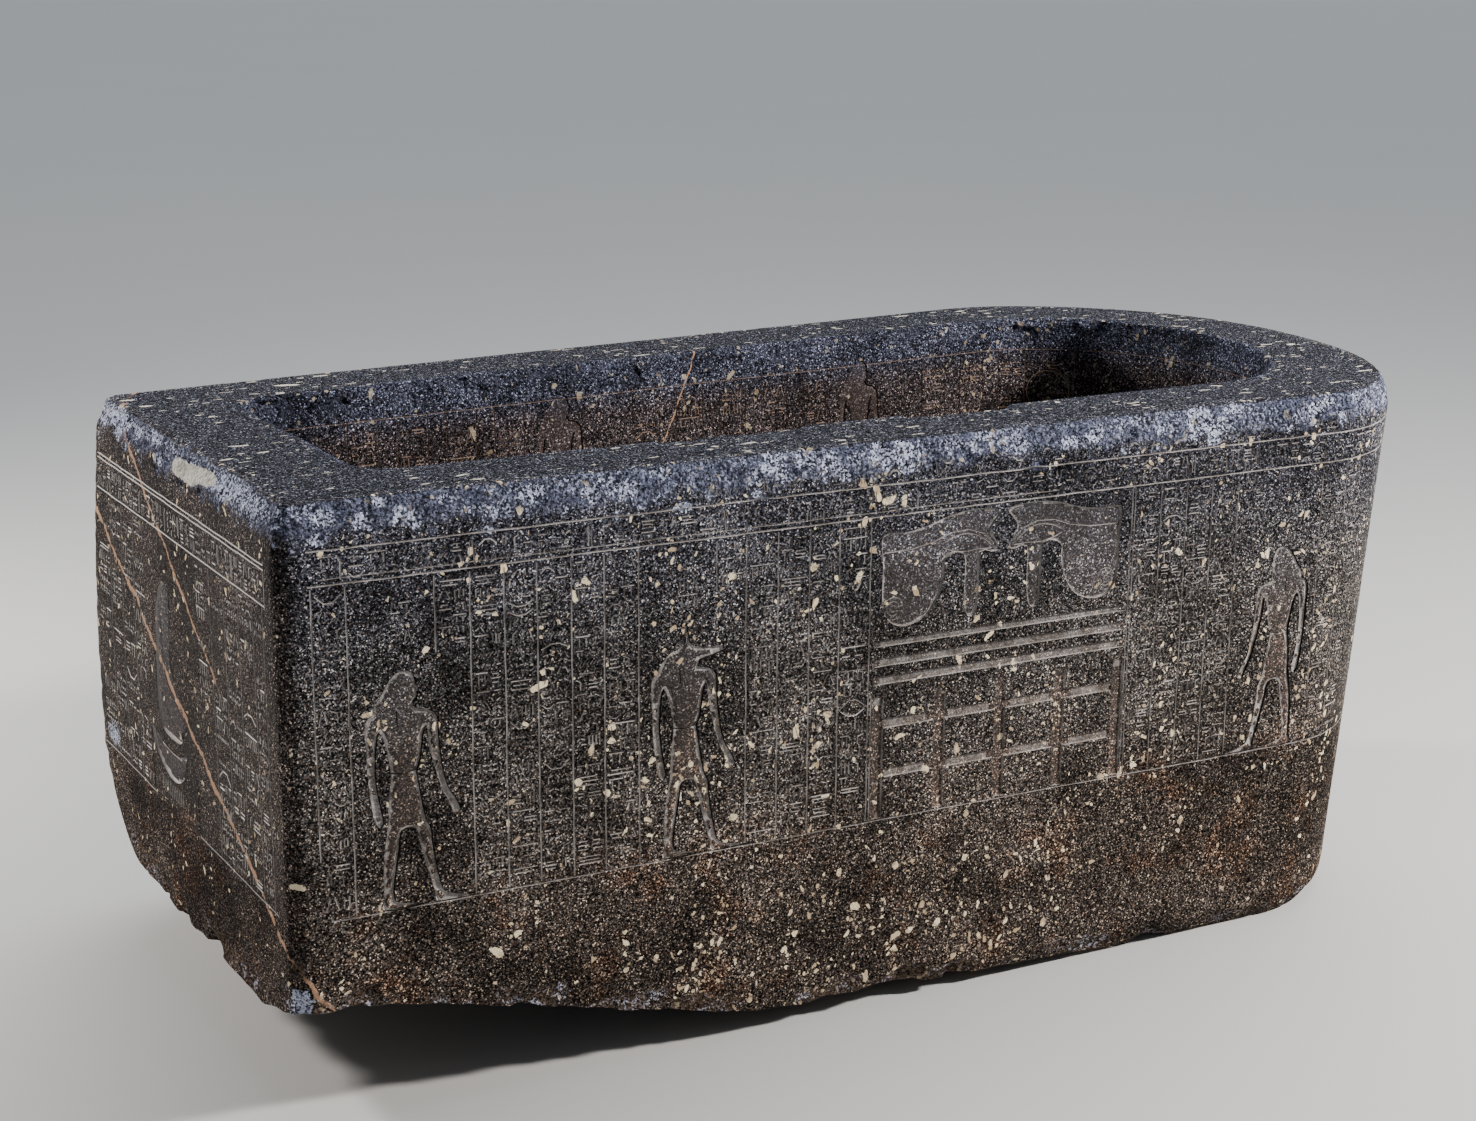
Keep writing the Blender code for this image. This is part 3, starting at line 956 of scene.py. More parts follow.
def flowing(path: Path, step: float) -> Path:
    """Draws a smooth closed line through all the points of a path.

    Args:
        path: The points.
        step: About how far apart the line's own points are.

    Returns:
        The line.
    """
    made: Path = []
    count = len(path)
    for i in range(count):
        before, start, end, after = (np.array(path[(i + j) % count]) for j in (-1, 0, 1, 2))
        pieces = max(1, round(math.dist(start, end) / step))
        for share in np.arange(pieces) / pieces:
            curve = 2 * start + (end - before) * share
            curve = curve + (2 * before - 5 * start + 4 * end - after) * share**2
            curve = curve + (3 * start - before - 3 * end + after) * share**3
            made.append(tuple((curve / 2).tolist()))
    return made


def spread(start: float, length: float, count: int) -> list[float]:
    """Middles of equal shares of a length."""
    return [start + length * (i + 0.5) / count for i in range(count)]


class Mark(Enum):
    """The kinds of small strokes in a text. None of them is a letter."""

    BARS = "bars"
    TICKS = "ticks"
    BOW = "bow"
    HATCH = "hatch"
    COMB = "comb"
    SLANTS = "slants"
    HOOK = "hook"
    BUNDLE = "bundle"


WIDE_MARKS = (Mark.BARS, Mark.BOW, Mark.HATCH, Mark.COMB, Mark.BUNDLE, Mark.BUNDLE, Mark.BUNDLE)
TALL_MARKS = (Mark.TICKS, Mark.HOOK, Mark.BUNDLE, Mark.BUNDLE, Mark.SLANTS)
SQUARE_MARKS = (Mark.BARS, Mark.TICKS, Mark.COMB, Mark.BUNDLE, Mark.HOOK, Mark.BUNDLE, Mark.SLANTS)


@dataclass
class ChiselHand:
    """The carver's hand: ruled lines, and rows and columns of small strokes that spell nothing."""

    seed: int
    width: float = 0.0024
    depth: float = 0.0017
    pale: float = 1.0
    unsteady: float = 0.0007
    ruled_step: float = 0.034
    widest: float = 0.030

    def __post_init__(self) -> None:
        """Starts the hand's own run of random numbers."""
        self.chance = random.Random(self.seed)

    def shaken(self, value: float) -> float:
        """A distance as an unsteady hand sets it out."""
        return value + self.chance.uniform(-self.unsteady, self.unsteady)

    def ruled(
        self, start: Pair, end: Pair, width: float = 0.0025, depth: float = 0.0017, pale: float = 0.9
    ) -> Cut:
        """A long ruled line, a little unsteady.

        Args:
            start: Where it starts.
            end: Where it ends.
            width: Its width.
            depth: Its depth.
            pale: How pale it is.

        Returns:
            The cut.
        """
        path = [(self.shaken(u), self.shaken(z)) for u, z in divided([start, end], self.ruled_step)]
        return Cut(tuple(path), width, depth, pale=pale)

    def stroke(self, *path: Pair) -> Cut:
        """A short stroke through the given points."""
        width, pale = self.width * self.chance.uniform(0.80, 1.2), self.chance.uniform(0.45, 1.0)
        return Cut(tuple(path), width, self.depth * self.chance.uniform(0.8, 1.15), pale=pale * self.pale)

    def ring(self, middle: Pair, reach: Pair, count: int = 8) -> Cut:
        """A small closed ring.

        Args:
            middle: Its centre.
            reach: Its two half widths.
            count: How many points it has.

        Returns:
            The cut.
        """
        turns = [2 * math.pi * i / count for i in range(count)]
        path = [(middle[0] + reach[0] * math.cos(a), middle[1] + reach[1] * math.sin(a)) for a in turns]
        return Cut(tuple(path), self.width * 0.9, self.depth * 0.9, True)

    def mark(self, kind: Mark, left: float, low: float, width: float, height: float) -> list[Cut]:
        """One group of strokes in a small box.

        Args:
            kind: Which strokes.
            left: Left edge of the box.
            low: Its lower edge.
            width: Its width.
            height: Its height.

        Returns:
            The cuts.
        """
        right, top, pick = left + width, low + height, self.chance
        middle, level = left + width / 2, low + height / 2
        if kind is Mark.BARS:
            levels = spread(low, height, max(1, min(3, int(height / 0.0062))))
            trims = [pick.uniform(0, 0.3) * width for _ in levels]
            return [self.stroke((left + trim / 2, z), (right - trim, z)) for z, trim in zip(levels, trims)]
        if kind is Mark.TICKS:
            sides = spread(left, width, max(1, min(4, round(width / 0.0075))))
            return [self.stroke((u, low + pick.uniform(0, 0.25) * height), (u, top)) for u in sides]
        if kind is Mark.BOW:
            sag = min(height, 0.35 * width) * pick.choice((-1, 1))
            sags = [sag * (0.5 - math.sin(math.pi * i / 3)) for i in range(4)]
            return [self.stroke(*((left + width * i / 3, level + sags[i]) for i in range(4)))]
        if kind is Mark.HATCH:
            count = max(3, int(width / 0.0065))
            pitch, lean = width / count, min(height, 0.006) / 2
            return [
                self.stroke((left + pitch * i, level - lean), (left + pitch * (i + 0.7), level + lean))
                for i in range(count)
            ]
        if kind is Mark.COMB:
            sides = spread(left, width, max(2, int(width / 0.010)))
            back = self.stroke((left, top), (right, top))
            return [back] + [self.stroke((u, low), (u, top - 0.0035)) for u in sides]
        if kind is Mark.SLANTS:
            gap = 0.16 * width
            rising = self.stroke((left, low), (middle - gap, top))
            return [rising, self.stroke((middle + gap, top), (right, low))]
        if kind is Mark.HOOK:
            turn = pick.choice((left, right))
            return [self.stroke((middle, low), (middle, top - 0.25 * height), (turn, top))]
        return self.bundle(left, low, width, height)

    def bundle(self, left: float, low: float, width: float, height: float) -> list[Cut]:
        """A clump of short strokes that lean different ways.

        Args:
            left: Left edge of its box.
            low: Lower edge of it.
            width: Its width.
            height: Its height.

        Returns:
            The cuts.
        """
        pick, made = self.chance, []
        columns, rows = max(1, round(width / 0.0105)), max(1, round(height / 0.0105))
        for along in spread(left, width, columns):
            for up in spread(low, height, rows):
                turn = pick.choice((0.0, 0.5, 0.9, 1.57, 2.2, 2.7)) + pick.uniform(-0.2, 0.2)
                reach = 0.40 * min(width / columns, height / rows) * pick.uniform(0.85, 1.25)
                run, rise = reach * math.cos(turn), reach * math.sin(turn)
                made.append(self.stroke((along - run, up - rise), (along + run, up + rise)))
        return made

    def fill(self, left: float, low: float, width: float, height: float) -> list[Cut]:
        """Fills a small box with one group of strokes that suits its shape, or splits it for two.

        Args:
            left: Left edge of the box.
            low: Its lower edge.
            width: Its width.
            height: Its height.

        Returns:
            The cuts.
        """
        if width > self.widest and self.chance.random() < 0.72:
            split, gap = self.chance.uniform(0.32, 0.62) * width, 0.0025
            first = self.fill(left, low, split - gap, height)
            return first + self.fill(left + split + gap, low, width - split - gap, height)
        shape = width / height
        marks = WIDE_MARKS if shape > 1.7 else TALL_MARKS if shape < 0.75 else SQUARE_MARKS
        return self.mark(self.chance.choice(marks), left, low, width, height)

    def column(self, left: float, right: float, low: float, high: float, worn: float = 0.04) -> list[Cut]:
        """A column of text between two ruled lines.

        Args:
            left: Its left line.
            right: Its right line.
            low: Where it ends.
            high: Where it starts.
            worn: Share of its groups that are worn away.

        Returns:
            The cuts.
        """
        made, margin, top = [], 0.0075, high - 0.008
        while top > low + 0.014:
            height = min(self.chance.choice((0.010, 0.013, 0.016, 0.020, 0.024)), top - low - 0.004)
            if self.chance.random() > worn:
                made += self.fill(left + margin, top - height, right - left - 2 * margin, height)
            top -= height + self.chance.uniform(0.0055, 0.0085)
        return made

    def row(self, left: float, right: float, low: float, high: float, worn: float = 0.04) -> list[Cut]:
        """A row of text between two ruled lines, in stacks of two or three groups.

        Args:
            left: Where it starts.
            right: Where it ends.
            low: Its lower line.
            high: Its upper line.
            worn: Share of its groups that are worn away.

        Returns:
            The cuts.
        """
        made, place, margin = [], left, 0.007
        while place < right - 0.02:
            width = self.chance.choice((0.012, 0.020, 0.028, 0.034))
            tall = width < 0.015
            layers = 1 if tall else self.chance.choice((2, 3))
            share = (high - low - 2 * margin) / layers
            for layer in range(layers):
                if self.chance.random() > worn:
                    made += self.fill(place, low + margin + layer * share, width, share - 0.005)
            place += width + self.chance.uniform(0.006, 0.010)
        return made


# A striding figure that faces right, in shares of its own height: x from the middle of the body, z
# from the soles. The outline runs clockwise from the front shoulder, so that either head comes first.
STRIDING_BODY = (
    (0.055, 0.835), (0.105, 0.822), (0.138, 0.790), (0.143, 0.700), (0.156, 0.575), (0.178, 0.485),
    (0.210, 0.430), (0.228, 0.378), (0.200, 0.366), (0.174, 0.430), (0.150, 0.478), (0.118, 0.590),
    (0.100, 0.670), (0.090, 0.755), (0.076, 0.720), (0.062, 0.620), (0.047, 0.578), (0.053, 0.530),
    (0.066, 0.443), (0.082, 0.364), (0.102, 0.319), (0.104, 0.274), (0.116, 0.184), (0.136, 0.083),
    (0.154, 0.043), (0.205, 0.022), (0.275, 0.010), (0.275, 0.002), (0.122, 0.002), (0.110, 0.030),
    (0.098, 0.083), (0.072, 0.173), (0.051, 0.263), (0.033, 0.330), (-0.021, 0.330), (-0.037, 0.252),
    (-0.053, 0.162), (-0.064, 0.072), (-0.052, 0.034), (0.000, 0.020), (0.062, 0.012), (0.062, 0.002),
    (-0.106, 0.002), (-0.108, 0.060), (-0.107, 0.190), (-0.096, 0.285), (-0.082, 0.360),
    (-0.078, 0.443), (-0.070, 0.521), (-0.064, 0.578), (-0.073, 0.645), (-0.088, 0.712),
    (-0.106, 0.755), (-0.120, 0.690), (-0.125, 0.590), (-0.118, 0.510), (-0.108, 0.443),
    (-0.096, 0.375), (-0.112, 0.353), (-0.136, 0.385), (-0.147, 0.454), (-0.158, 0.555),
    (-0.163, 0.667), (-0.166, 0.775), (-0.156, 0.815), (-0.130, 0.834),
)
WIGGED_HEAD = (
    (-0.138, 0.850), (-0.098, 0.903), (-0.062, 0.962), (-0.030, 0.992), (0.005, 1.0), (0.038, 0.985),
    (0.050, 0.955), (0.053, 0.935), (0.064, 0.913), (0.056, 0.903), (0.058, 0.893), (0.053, 0.877),
    (0.038, 0.862),
)
JACKAL_HEAD = (
    (-0.128, 0.855), (-0.085, 0.905), (-0.030, 0.928), (-0.018, 0.975), (-0.006, 1.030),
    (0.008, 0.985), (0.020, 0.938), (0.060, 0.922), (0.112, 0.915), (0.170, 0.912), (0.178, 0.893),
    (0.120, 0.875), (0.062, 0.862),
)
# Lines inside a striding figure: belt and lappet.
STRIDING_LINES = (
    ((-0.064, 0.578), (-0.010, 0.569), (0.046, 0.580)), ((-0.034, 0.838), (-0.031, 0.772)),
)
JACKAL_LINES = (((-0.008, 0.950), (-0.006, 0.990)),)
# The kneeling figure of the foot and head ends on its bowl, in shares of its own height.
KNEELING_FIGURE = (
    (-0.100, 0.060), (-0.165, 0.175), (-0.180, 0.300), (-0.168, 0.560), (-0.150, 0.780),
    (-0.110, 0.900), (-0.060, 0.975), (0.020, 1.0), (0.075, 0.965), (0.085, 0.915), (0.100, 0.893),
    (0.086, 0.872), (0.080, 0.850), (0.085, 0.800), (0.070, 0.640), (0.075, 0.490), (0.150, 0.380),
    (0.260, 0.270), (0.300, 0.200), (0.235, 0.135), (0.150, 0.060),
)
BOWL = (
    (-0.300, 0.020), (-0.280, -0.060), (-0.190, -0.150), (-0.070, -0.205), (0.060, -0.215),
    (0.170, -0.165), (0.240, -0.080), (0.255, 0.010), (0.100, -0.035), (-0.120, -0.030),
)
KNEELING_LINES = (
    ((-0.120, 0.820), (-0.020, 0.800), (0.060, 0.820)), ((-0.090, 0.780), (-0.080, 0.560), (-0.040, 0.400)),
    ((-0.040, 0.400), (0.080, 0.300), (0.230, 0.215)), ((-0.130, 0.300), (0.000, 0.170), (0.140, 0.120)),
    ((0.030, 0.905), (0.060, 0.905)),
)
# One protective eye, in metres from the line between the two and above the base line.
EYE_OUTLINE = (
    (-0.006, 0.603), (-0.025, 0.609), (-0.075, 0.612), (-0.125, 0.606), (-0.175, 0.591),
    (-0.225, 0.583), (-0.277, 0.580), (-0.277, 0.520), (-0.277, 0.448), (-0.270, 0.420),
    (-0.250, 0.400), (-0.222, 0.394), (-0.190, 0.402), (-0.165, 0.420), (-0.146, 0.452),
    (-0.137, 0.490), (-0.134, 0.520), (-0.094, 0.524), (-0.090, 0.446), (-0.087, 0.406),
    (-0.074, 0.394), (-0.061, 0.406), (-0.056, 0.446), (-0.054, 0.522), (-0.030, 0.521),
    (-0.010, 0.524), (-0.020, 0.545), (-0.030, 0.570),
)
BROW_LINE = (
    (-0.272, 0.546), (-0.210, 0.547), (-0.160, 0.556), (-0.120, 0.570), (-0.080, 0.572), (-0.045, 0.560),
    (-0.020, 0.536),
)
ALMOND = (
    (-0.142, 0.544), (-0.115, 0.560), (-0.080, 0.564), (-0.050, 0.552), (-0.024, 0.530), (-0.060, 0.530),
    (-0.100, 0.529),
)


@dataclass(frozen=True)
class Figure:
    """A sunk figure in outline, with the lines inside it."""

    outline: tuple[Pair, ...]
    lines: tuple[tuple[Pair, ...], ...]
    middle: float
    foot: float
    size: float
    facing: int
    depth: float = 0.0044
    # A negative pale gives the figure's wall painted shadow instead of chisel paleness.
    pale: float = -1.0
    wall: float = 0.0011
    floor_left: float = 0.0012
    crown_reach: float = 0.0045
    line_cut: Pair = (0.0030, 0.0022)
    line_pale: float = -0.6
    step: float = 0.009

    def spot(self, point: Pair) -> Pair:
        """A point of the figure on its face."""
        return self.middle + self.facing * point[0] * self.size, self.foot + point[1] * self.size

    def features(self) -> list[Feature]:
        """The figure's sunk field and the cuts on its floor."""
        section = (self.depth, self.wall, self.depth - self.floor_left, self.crown_reach)
        body = SunkField(self.loop(self.step), *section, pale=self.pale)
        paths = [tuple(self.spot(point) for point in line) for line in self.lines]
        return [body] + [Cut(path, *self.line_cut, pale=self.line_pale) for path in paths]

    def loop(self, step: float) -> tuple[Pair, ...]:
        """The figure's outline on its face, with a point about every step."""
        return tuple(flowing([self.spot(point) for point in self.outline], step))


@dataclass(frozen=True)
class Panel:
    """The panel of the front: two eyes over three bars and a lattice of stiles and rails."""

    left: float = 1.178
    right: float = 1.775
    eye_centre: float = 1.4725
    stile_width: float = 0.026
    stiles: int = 5
    stile_band: Pair = (0.004, 0.258)
    bars: tuple[Pair, ...] = ((0.358, 0.371), (0.318, 0.335), (0.281, 0.298))
    rails: tuple[Pair, ...] = ((0.190, 0.210), (0.088, 0.106))
    depth: float = 0.0040
    wall: float = 0.0012

    def band(self, left: float, right: float, low: float, high: float) -> SunkField:
        """A flat sunk band between two distances along the face and two heights above the base line."""
        base = FORM.base_line
        corners = [(left, base + low), (right, base + low), (right, base + high), (left, base + high)]
        outline = tuple(divided(corners, 0.019, True))
        # edge sets the strength of the painted highlight along the wall's foot
        return SunkField(outline, self.depth, self.wall, mesh=0.014, pale=1.0, edge=0.46)

    def eye(self, side: int) -> list[Feature]:
        """One eye.

        Args:
            side: -1 for the left one, 1 for the right one.

        Returns:
            Its sunk field, and the cuts of its brow, lids, pupil and curl.
        """

        def spots(points: tuple[Pair, ...]) -> Path:
            """The points on the face."""
            return [(self.eye_centre - side * u, FORM.base_line + z) for u, z in points]

        hand = ChiselHand(40 + side)
        outline = tuple(flowing(spots(EYE_OUTLINE), 0.010))
        # the eye's edge value is the strength of the painted highlight along the foot of its wall
        made: list[Feature] = [
            SunkField(outline, self.depth, self.wall, 0.0014, 0.012, pale=1.0, edge=0.70)
        ]
        made.append(Cut(tuple(spots(BROW_LINE)), 0.0032, 0.0026, pale=0.9))
        made.append(Cut(tuple(flowing(spots(ALMOND), 0.010)), 0.0030, 0.0024, True, 0.9))
        curl = spots(((-0.250, 0.432),))[0]
        made += [hand.ring(curl, (reach, reach), 12) for reach in (0.023, 0.0145, 0.0065)]
        return made

    def features(self) -> list[Feature]:
        """All that the panel holds."""
        made = self.eye(-1) + self.eye(1)
        made += [self.band(self.left, self.right, *band) for band in self.bars]
        pitch = (self.right - self.left - self.stile_width) / (self.stiles - 1)
        for index in range(self.stiles):
            left = self.left + index * pitch
            made.append(self.band(left, left + self.stile_width, *self.stile_band))
        ends = self.left + self.stile_width / 2, self.right - self.stile_width / 2
        return made + [self.band(*ends, *band) for band in self.rails]


@dataclass(frozen=True)
class Carving:
    """All that is carved on the outside, in distance round the block and height."""

    header: Pair = (1.0860, 1.0242)
    column_top: float = 1.0176
    above_base: float = 0.004
    text_gap: float = 0.008
    figure_height: float = 0.448
    front_end: float = 2.40
    front_runs: tuple[tuple[float, ...], ...] = (
        (0.060, 0.122), (0.350, 0.415, 0.478, 0.545, 0.609, 0.678), (0.900, 0.967, 1.035, 1.100, 1.168),
        (1.785, 1.850, 1.915, 1.980, 2.047), (2.270, 2.340, 2.400),
    )
    foot_header: tuple[float, ...] = (1.0536, 1.0446, 0.9786)
    foot_top: float = 0.974
    foot_runs: tuple[tuple[float, ...], ...] = (
        (0.085, 0.140, 0.220, 0.300, 0.380), (0.405, 0.470), (0.760, 0.830, 0.900, 0.970, 1.050),
    )

    def level(self, hand: ChiselHand, left: float, right: float, z: float, pale: float = 0.75) -> Cut:
        """A ruled level line."""
        return hand.ruled((left, z), (right, z), 0.0030, 0.0019, pale)

    def dividers(self, hand: ChiselHand, places: list[float]) -> list[Cut]:
        """Upright ruled lines from the base line to the header."""
        low = FORM.base_line + self.above_base
        return [hand.ruled((u, low), (u, self.column_top)) for u in places]

    def striders(self, middles: tuple[float, ...], facings: tuple[int, ...]) -> list[Feature]:
        """Three striding figures on the base line, the second with a jackal's head."""
        heads = ((WIGGED_HEAD, ()), (JACKAL_HEAD, JACKAL_LINES), (WIGGED_HEAD, ()))
        made = []
        for (head, lines), middle, facing in zip(heads, middles, facings):
            outline, lines = head + STRIDING_BODY, STRIDING_LINES + lines
            made += Figure(outline, lines, middle, FORM.base_line, self.figure_height, facing).features()
        return made

    def kneeling(self, middle: float, foot: float, size: float, facing: int) -> list[Feature]:
        """A kneeling figure over a bowl with a fringe.

        Args:
            middle: Middle of the figure along the face.
            foot: Height of its knees.
            size: Its height.
            facing: 1 if it faces the way that distance runs.

        Returns:
            The fields and the cuts.
        """
        made = Figure(KNEELING_FIGURE, KNEELING_LINES, middle, foot, size, facing, 0.009, 0.9).features()
        made += Figure(BOWL, (), middle, foot, size, facing, 0.006, 0.9).features()
        high, low = foot - 0.245 * size, foot - 0.335 * size
        for index in range(12):
            along = middle + facing * (-0.17 + 0.030 * index) * size
            made.append(Cut(((along, high), (along, low)), 0.0034, 0.0026, pale=0.6))
        return made

    def front(self) -> list[Feature]:
        """The front: header, columns, three striding figures and the panel."""
        hand, base, top = ChiselHand(3), FORM.base_line, self.column_top
        upper, lower = self.header
        made: list[Feature] = [self.level(hand, 0.055, 2.62, z) for z in self.header]
        made.append(hand.ruled((0.075, 1.0345), (1.60, 1.0345), 0.0024, 0.0009, 0.4))
        made.append(self.level(hand, 0.075, 2.62, base, 0.5))
        made += self.dividers(hand, [u for run in self.front_runs for u in run][1:-1])
        low = base + self.above_base
        uprights = ((0.060, 0.52, top), (1.175, low, base + 0.262), (1.778, low, top))
        uprights += ((0.284, 0.878, top), (0.838, 0.922, top))
        made += [hand.ruled((u, start), (u, end)) for u, start, end in uprights]
        texts = [(*ends, base + self.text_gap, top) for run in self.front_runs for ends in pairwise(run)]
        texts += [(0.284, 0.350, 0.880, top), (0.838, 0.900, 0.925, top)]
        texts += [(0.196, 0.246, 0.890, 0.985), (0.752, 0.806, 0.888, 0.985), (2.060, 2.115, 0.905, top)]
        for text in texts:
            made += hand.column(*text)
        made += hand.row(0.075, 2.60, lower, upper) + hand.row(0.82, 2.50, upper, upper + 0.046, 0.35)
        return made + self.striders((0.2225, 0.777, 2.176), (1, 1, -1)) + Panel().features()

    def foot(self) -> list[Feature]:
        """The foot end: a double header, columns of text, and a kneeling figure on a bowl."""
        hand, base = ChiselHand(5, 0.0032, 0.0022, 1.15), FORM.base_line
        made: list[Feature] = [self.level(hand, -1.060, -0.070, z, 0.9) for z in self.foot_header]
        made += [self.level(hand, *ends, base, 0.4) for ends in ((-1.060, -0.760), (-0.510, -0.070))]
        low, top = base + self.above_base, self.foot_top
        near_run, lone, far_run = self.foot_runs
        made += [hand.ruled((-y, low), (-y, top), pale=0.45) for y in near_run + far_run[1:-1]]
        ends = ((0.760, 0.542), (0.510, 0.522))
        made += [hand.ruled((-y, 0.415), (-y, high), 0.0040, 0.003, 0.0) for y, high in ends]
        made.append(hand.ruled((-0.070, 1.040), (-0.070, 0.985)))
        for run in self.foot_runs:
            end = 0.70 if run == lone else base + self.text_gap
            for near, far in pairwise(run):
                made += hand.column(-far, -near, end, top, 0.42)
        made += hand.row(-1.055, -0.080, *self.foot_header[:0:-1], 0.08)
        made.append(hand.ruled((-0.628, 0.955), (-0.636, 0.885), 0.0044, 0.003, 0.1))
        return made + self.kneeling(-0.655, 0.541, 0.335, 1)

    def head(self) -> list[Feature]:
        """The head end, plainer: ruled lines, a few columns, and a kneeling figure at its middle."""
        hand, base = ChiselHand(9), FORM.base_line
        apex, end = FORM.outer.side_length(0), FORM.outer.length - 2.44
        made: list[Feature] = [self.level(hand, 2.66, end, z) for z in self.header]
        made.append(self.level(hand, 2.66, end, base, 0.5))
        made += self.dividers(hand, [apex + u for u in (-0.40, -0.32, -0.24, 0.24, 0.32, 0.40)])
        for left in (-0.40, -0.32, 0.24, 0.32):
            ends = (apex + left, apex + left + 0.08)
            made += hand.column(*ends, base + self.text_gap, self.column_top, 0.15)
        return made + self.kneeling(apex, 0.545, 0.335, -1)

    def back(self) -> list[Feature]:
        """The back, plainer: ruled lines, three striding figures and some columns of text."""
        hand, base, total = ChiselHand(13), FORM.base_line, FORM.outer.length
        made: list[Feature] = [self.level(hand, total - 2.40, total - 0.06, z) for z in self.header]
        made.append(self.level(hand, total - 2.40, total - 0.06, base, 0.5))
        made += self.striders(tuple(total - u for u in (0.46, 1.16, 1.86)), (-1, -1, -1))
        for left in (0.10, 0.17, 0.73, 0.80, 1.43, 1.50, 2.13, 2.20):
            ends = (total - left - 0.07, total - left)
            made += hand.column(*ends, base + self.text_gap, self.column_top, 0.12)
        lines = (0.10, 0.17, 0.24, 0.66, 0.73, 0.80, 0.87, 0.94, 1.36, 1.43, 1.50, 1.57, 1.64)
        made += self.dividers(hand, [total - u for u in lines + (2.06, 2.13, 2.20, 2.27)])
        return made + hand.row(total - 2.30, total - 0.08, self.header[1], self.header[0], 0.10)

    def hollow(self) -> list[Feature]:
        """Inside: a ruled line under the lip and faint columns of text on the back wall."""
        hand = ChiselHand(17, 0.0028, 0.0012, 0.85)
        face, total = HollowFace(), FORM.hollow.length
        high = face.fillet + face.wall - 0.055
        low = high - 0.27
        made: list[Feature] = [hand.ruled((0.10, high), (total - 0.10, high), 0.0028, 0.0012, 0.35)]
        for index in range(17):
            if index in (4, 5, 11, 12):
                continue
            right = total - 0.24 - 0.115 * index
            left = right - 0.07
            made += hand.column(left, right, low, high - 0.02, 0.22)
            made += [hand.ruled((side, low), (side, high), pale=0.4) for side in (right, left)]
        for middle in (total - 0.75, total - 1.555):
            outline = Figure(WIGGED_HEAD + STRIDING_BODY, (), middle, low - 0.08, 0.36, -1).loop(0.014)
            # its last value is the strength of the painted highlight along the foot of the wall
            made.append(SunkField(outline, 0.0028, 0.0016, 0.0012, 0.014, 0.014, 0.25, 0.40))
        made.append(hand.ring((total - 2.09, 0.66), (0.050, 0.050), 22))
        return made

    def rim(self) -> list[Feature]:
        """The shallow lines scratched along the rim, parallel to the front."""
        hand = ChiselHand(23)
        run = math.tan(FORM.splay)
        made: list[Feature] = []
        for start, end, inset in ((-1.24, 0.60, 0.064), (-0.90, 0.95, 0.079), (-0.35, 1.02, 0.101)):
            ends = []
            for x in (start, end):
                edge = -FORM.outer.foot_half - (x - CAD_LOW.x) * run + FORM.shift
                ends.append((x, edge + inset))
            made.append(hand.ruled(*ends, 0.0032, 0.0011, 0.35))
        return made


# ------------------------------------------------------------------------------------------ the mesh


@dataclass(frozen=True)
class Ring:
    """A line round the block that two sheets share, and the numbers of its points."""

    along: np.ndarray
    up: np.ndarray
    keys: list[int]


class WallSheet:
    """The sheet of a face that goes all round, with rings at its top and bottom and one seam."""

    top_step = 0.0095
    foot_step = 0.0125
    seam_step = 0.02
    foot_key = 2000
    seam_key = 4000

    def __init__(self, face: OuterFace | HollowFace, outline: PlanOutline, first_key: int) -> None:
        """Sets out the sheet's edges.

        Args:
            face: The face.
            outline: Its plan.
            first_key: Where the numbers of its shared points start.
        """
        self.face = face
        self.sheet = Sheet()
        self.left, self.right = -2 * outline.foot_half, outline.length
        self.top = self.ring(face.top, self.top_step, first_key)
        self.foot = self.ring(0.0, self.foot_step, first_key + self.foot_key)
        low, high = float(self.foot.up[0]), face.top
        count = round((high - low) / self.seam_step)
        heights = np.linspace(low, high, count + 1)
        between = [first_key + self.seam_key + i for i in range(count - 1)]
        keys = [self.foot.keys[0]] + between + [self.top.keys[0]]
        for end in (self.left, self.right):
            self.sheet.draw_line(np.stack([np.full(count + 1, end), heights], axis=1), keys=keys)

    def ring(self, up: float, step: float, first_key: int) -> Ring:
        """Draws the top or the bottom ring.

        Args:
            up: Where it lies; the outer face's bottom follows the broken stone instead.
            step: Distance between its points.
            first_key: Number of its first point.

        Returns:
            The ring.
        """
        count = round((self.right - self.left) / step)
        along = np.linspace(self.left, self.right, count + 1)
        broken = up == 0 and isinstance(self.face, OuterFace)
        ups = self.face.bottom(along) if broken else np.full(count + 1, up)
        ups[-1] = ups[0]
        keys = [first_key + i for i in range(count)] + [first_key]
        self.sheet.draw_line(np.stack([along, ups], axis=1), keys=keys)
        return Ring(along, ups, keys)

    def keep(self, spots: np.ndarray, clear: float) -> np.ndarray:
        """Which flat points lie between the rings.

        Args:
            spots: The points.
            clear: How far from the bottom ring they have to be.

        Returns:
            True for each that does.
        """
        return spots[:, 1] > np.interp(spots[:, 0], self.foot.along, self.foot.up) + clear

    def plan_of(self, ring: Ring) -> np.ndarray:
        """The ring's points in plan, without the one that ends where it starts."""
        return self.face.place(ring.along, ring.up)[:-1, :2]


